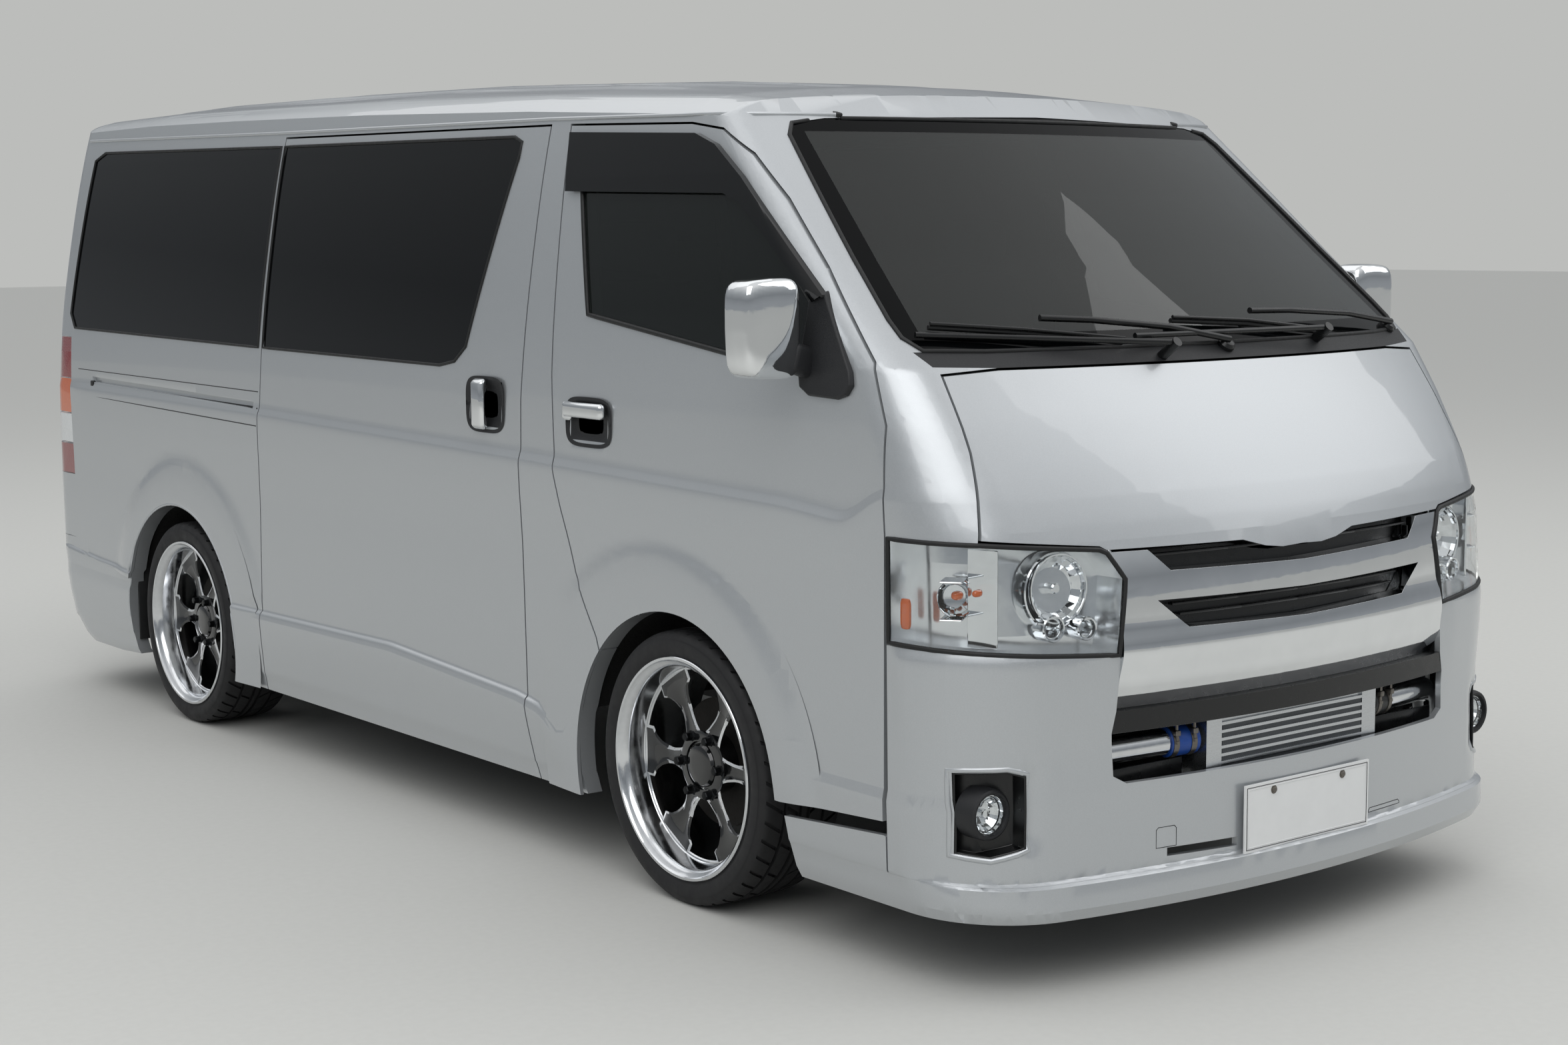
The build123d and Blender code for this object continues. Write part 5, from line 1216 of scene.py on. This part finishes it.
class VAN_OT_stage(bpy.types.Operator):
    """Pale floor, soft studio light and the camera"""
    bl_idname = "van.stage"
    bl_label = "Stage"

    # Place, size and power of each soft light; all are aimed at the middle of the van.
    SOFTBOXES = (((-6.0, -6.0, 7.5), 8.0, 330.0), ((6.5, -5.0, 6.5), 7.0, 150.0), ((0.0, 4.0, 8.5), 11.0, 150.0))
    AIM = Vector((0, 0, 0.8))
    SKY = ((0.0, "#9A9EA2"), (0.10, "#888C90"), (0.32, "#AEB2B5"), (0.75, "#F6F7F8"))     # height, shade
    CAMERA, CAMERA_TURN, LENS = (-3.8134, -5.4587, 1.4843), (51.915, -7.049, -0.408), 54.68   # yaw, pitch, roll

    @staticmethod
    def floor(scene):
        bm = bmesh.new()
        bmesh.ops.create_grid(bm, x_segments=1, y_segments=1, size=60.0)
        mesh = bpy.data.meshes.new("studio_floor")
        bm.to_mesh(mesh)
        bm.free()
        floor = bpy.data.objects.new("studio_floor", mesh)
        scene.collection.objects.link(floor)
        # Pale concrete: dull, with a fine trowelled grain, drawn at 20 mm so that it shows.
        ground, tree, shader, spot = new_material("pale_concrete")
        noise = add_node(tree, "ShaderNodeTexNoise", {"Vector": spot, "Scale": 50, "Detail": 3})
        tone = scene.van_finishes.floor
        mix = add_node(tree, "ShaderNodeMix", {0: noise.outputs["Fac"], 6: shade([c * 0.84 for c in tone]),
                                               7: shade([c * 0.9 for c in tone])}, data_type="RGBA")
        fill_sockets(tree, shader, {"Base Color": mix.outputs[2], "Roughness": 0.8})
        mesh.materials.append(ground)

    def world(self, scene):
        """A sky that is paler towards the top; the camera sees a plain pale wall instead."""
        world = bpy.data.worlds.new("studio")
        scene.world = world
        world.use_nodes = True
        tree = world.node_tree
        split = add_node(tree, "ShaderNodeSeparateXYZ",
                         {"Vector": add_node(tree, "ShaderNodeTexCoord").outputs["Generated"]})
        ramp = add_node(tree, "ShaderNodeValToRGB", {"Fac": split.outputs["Z"]})
        (first, tone), *between, (last, last_tone) = self.SKY
        ends = ramp.color_ramp.elements
        ends[0].position, ends[1].position = first, last
        ends[0].color, ends[1].color = shade(tone), shade(last_tone)
        for height, tone in between:
            ends.new(height).color = shade(tone)
        back = fill_sockets(tree, tree.nodes["Background"], {"Color": ramp.outputs["Color"], "Strength": 0.85})
        wall = add_node(tree, "ShaderNodeBackground", {"Color": shade("#BCBDBB"), "Strength": 1.0})
        seen = add_node(tree, "ShaderNodeMixShader", {0: add_node(tree, "ShaderNodeLightPath").outputs["Is Camera Ray"],
                                                      1: back.outputs[0], 2: wall.outputs[0]})
        fill_sockets(tree, tree.nodes["World Output"], {"Surface": seen.outputs[0]})

    def camera(self, scene):
        view = bpy.data.cameras.new("camera")
        view.sensor_width, view.lens, view.clip_end = 36.0, self.LENS, 200.0
        camera = bpy.data.objects.new("camera", view)
        yaw, pitch, roll = (math.radians(v) for v in self.CAMERA_TURN)
        ahead = Vector((math.cos(yaw) * math.cos(pitch), math.sin(yaw) * math.cos(pitch), math.sin(pitch)))
        right = Vector((math.sin(yaw), -math.cos(yaw), 0))
        up = right.cross(ahead)
        right, up = right * math.cos(roll) + up * math.sin(roll), up * math.cos(roll) - right * math.sin(roll)
        turn = Matrix((right, up, -ahead)).transposed().to_4x4()
        camera.matrix_world = moved(self.CAMERA) @ turn
        scene.collection.objects.link(camera)
        scene.camera = camera

    def execute(self, context):
        scene = context.scene
        self.floor(scene)
        self.world(scene)
        for spot, size, power in self.SOFTBOXES:
            lamp = bpy.data.lights.new("softbox", "AREA")
            lamp.size, lamp.energy = size, power
            holder = bpy.data.objects.new("softbox", lamp)
            holder.location = spot
            holder.rotation_euler = (self.AIM - Vector(spot)).to_track_quat("-Z", "Y").to_euler()
            scene.collection.objects.link(holder)
        self.camera(scene)
        scene.view_settings.view_transform = "Standard"
        return {"FINISHED"}


OPERATORS = (VAN_OT_finishes, VAN_OT_panels, VAN_OT_glass, VAN_OT_wheels, VAN_OT_handles, VAN_OT_mirrors,
             VAN_OT_lamps, VAN_OT_nose, VAN_OT_tail, VAN_OT_seats, VAN_OT_stage)


class VAN_PT_panel(bpy.types.Panel):
    """Sizes, colours and building steps of the van"""
    bl_idname = "VAN_PT_panel"
    bl_label = "Van"
    bl_space_type = "VIEW_3D"
    bl_region_type = "UI"
    bl_category = "Van"

    def draw(self, context):
        for group in (context.scene.van_finishes, context.scene.van_wheels):
            for key in group.__annotations__:
                self.layout.prop(group, key)
        for operator in OPERATORS:
            self.layout.operator(operator.bl_idname)


CLASSES = (VanFinishes, VanWheels) + OPERATORS + (VAN_PT_panel,)


def register():
    for cls in CLASSES:
        bpy.utils.register_class(cls)
    bpy.types.Scene.van_finishes = PointerProperty(type=VanFinishes)
    bpy.types.Scene.van_wheels = PointerProperty(type=VanWheels)


def unregister():
    del bpy.types.Scene.van_finishes
    del bpy.types.Scene.van_wheels
    for cls in reversed(CLASSES):
        bpy.utils.unregister_class(cls)


def main():
    register()
    for operator in OPERATORS:
        group, name = operator.bl_idname.split(".")
        getattr(getattr(bpy.ops, group), name)()
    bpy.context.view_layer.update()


if __name__ == "__main__":
    main()
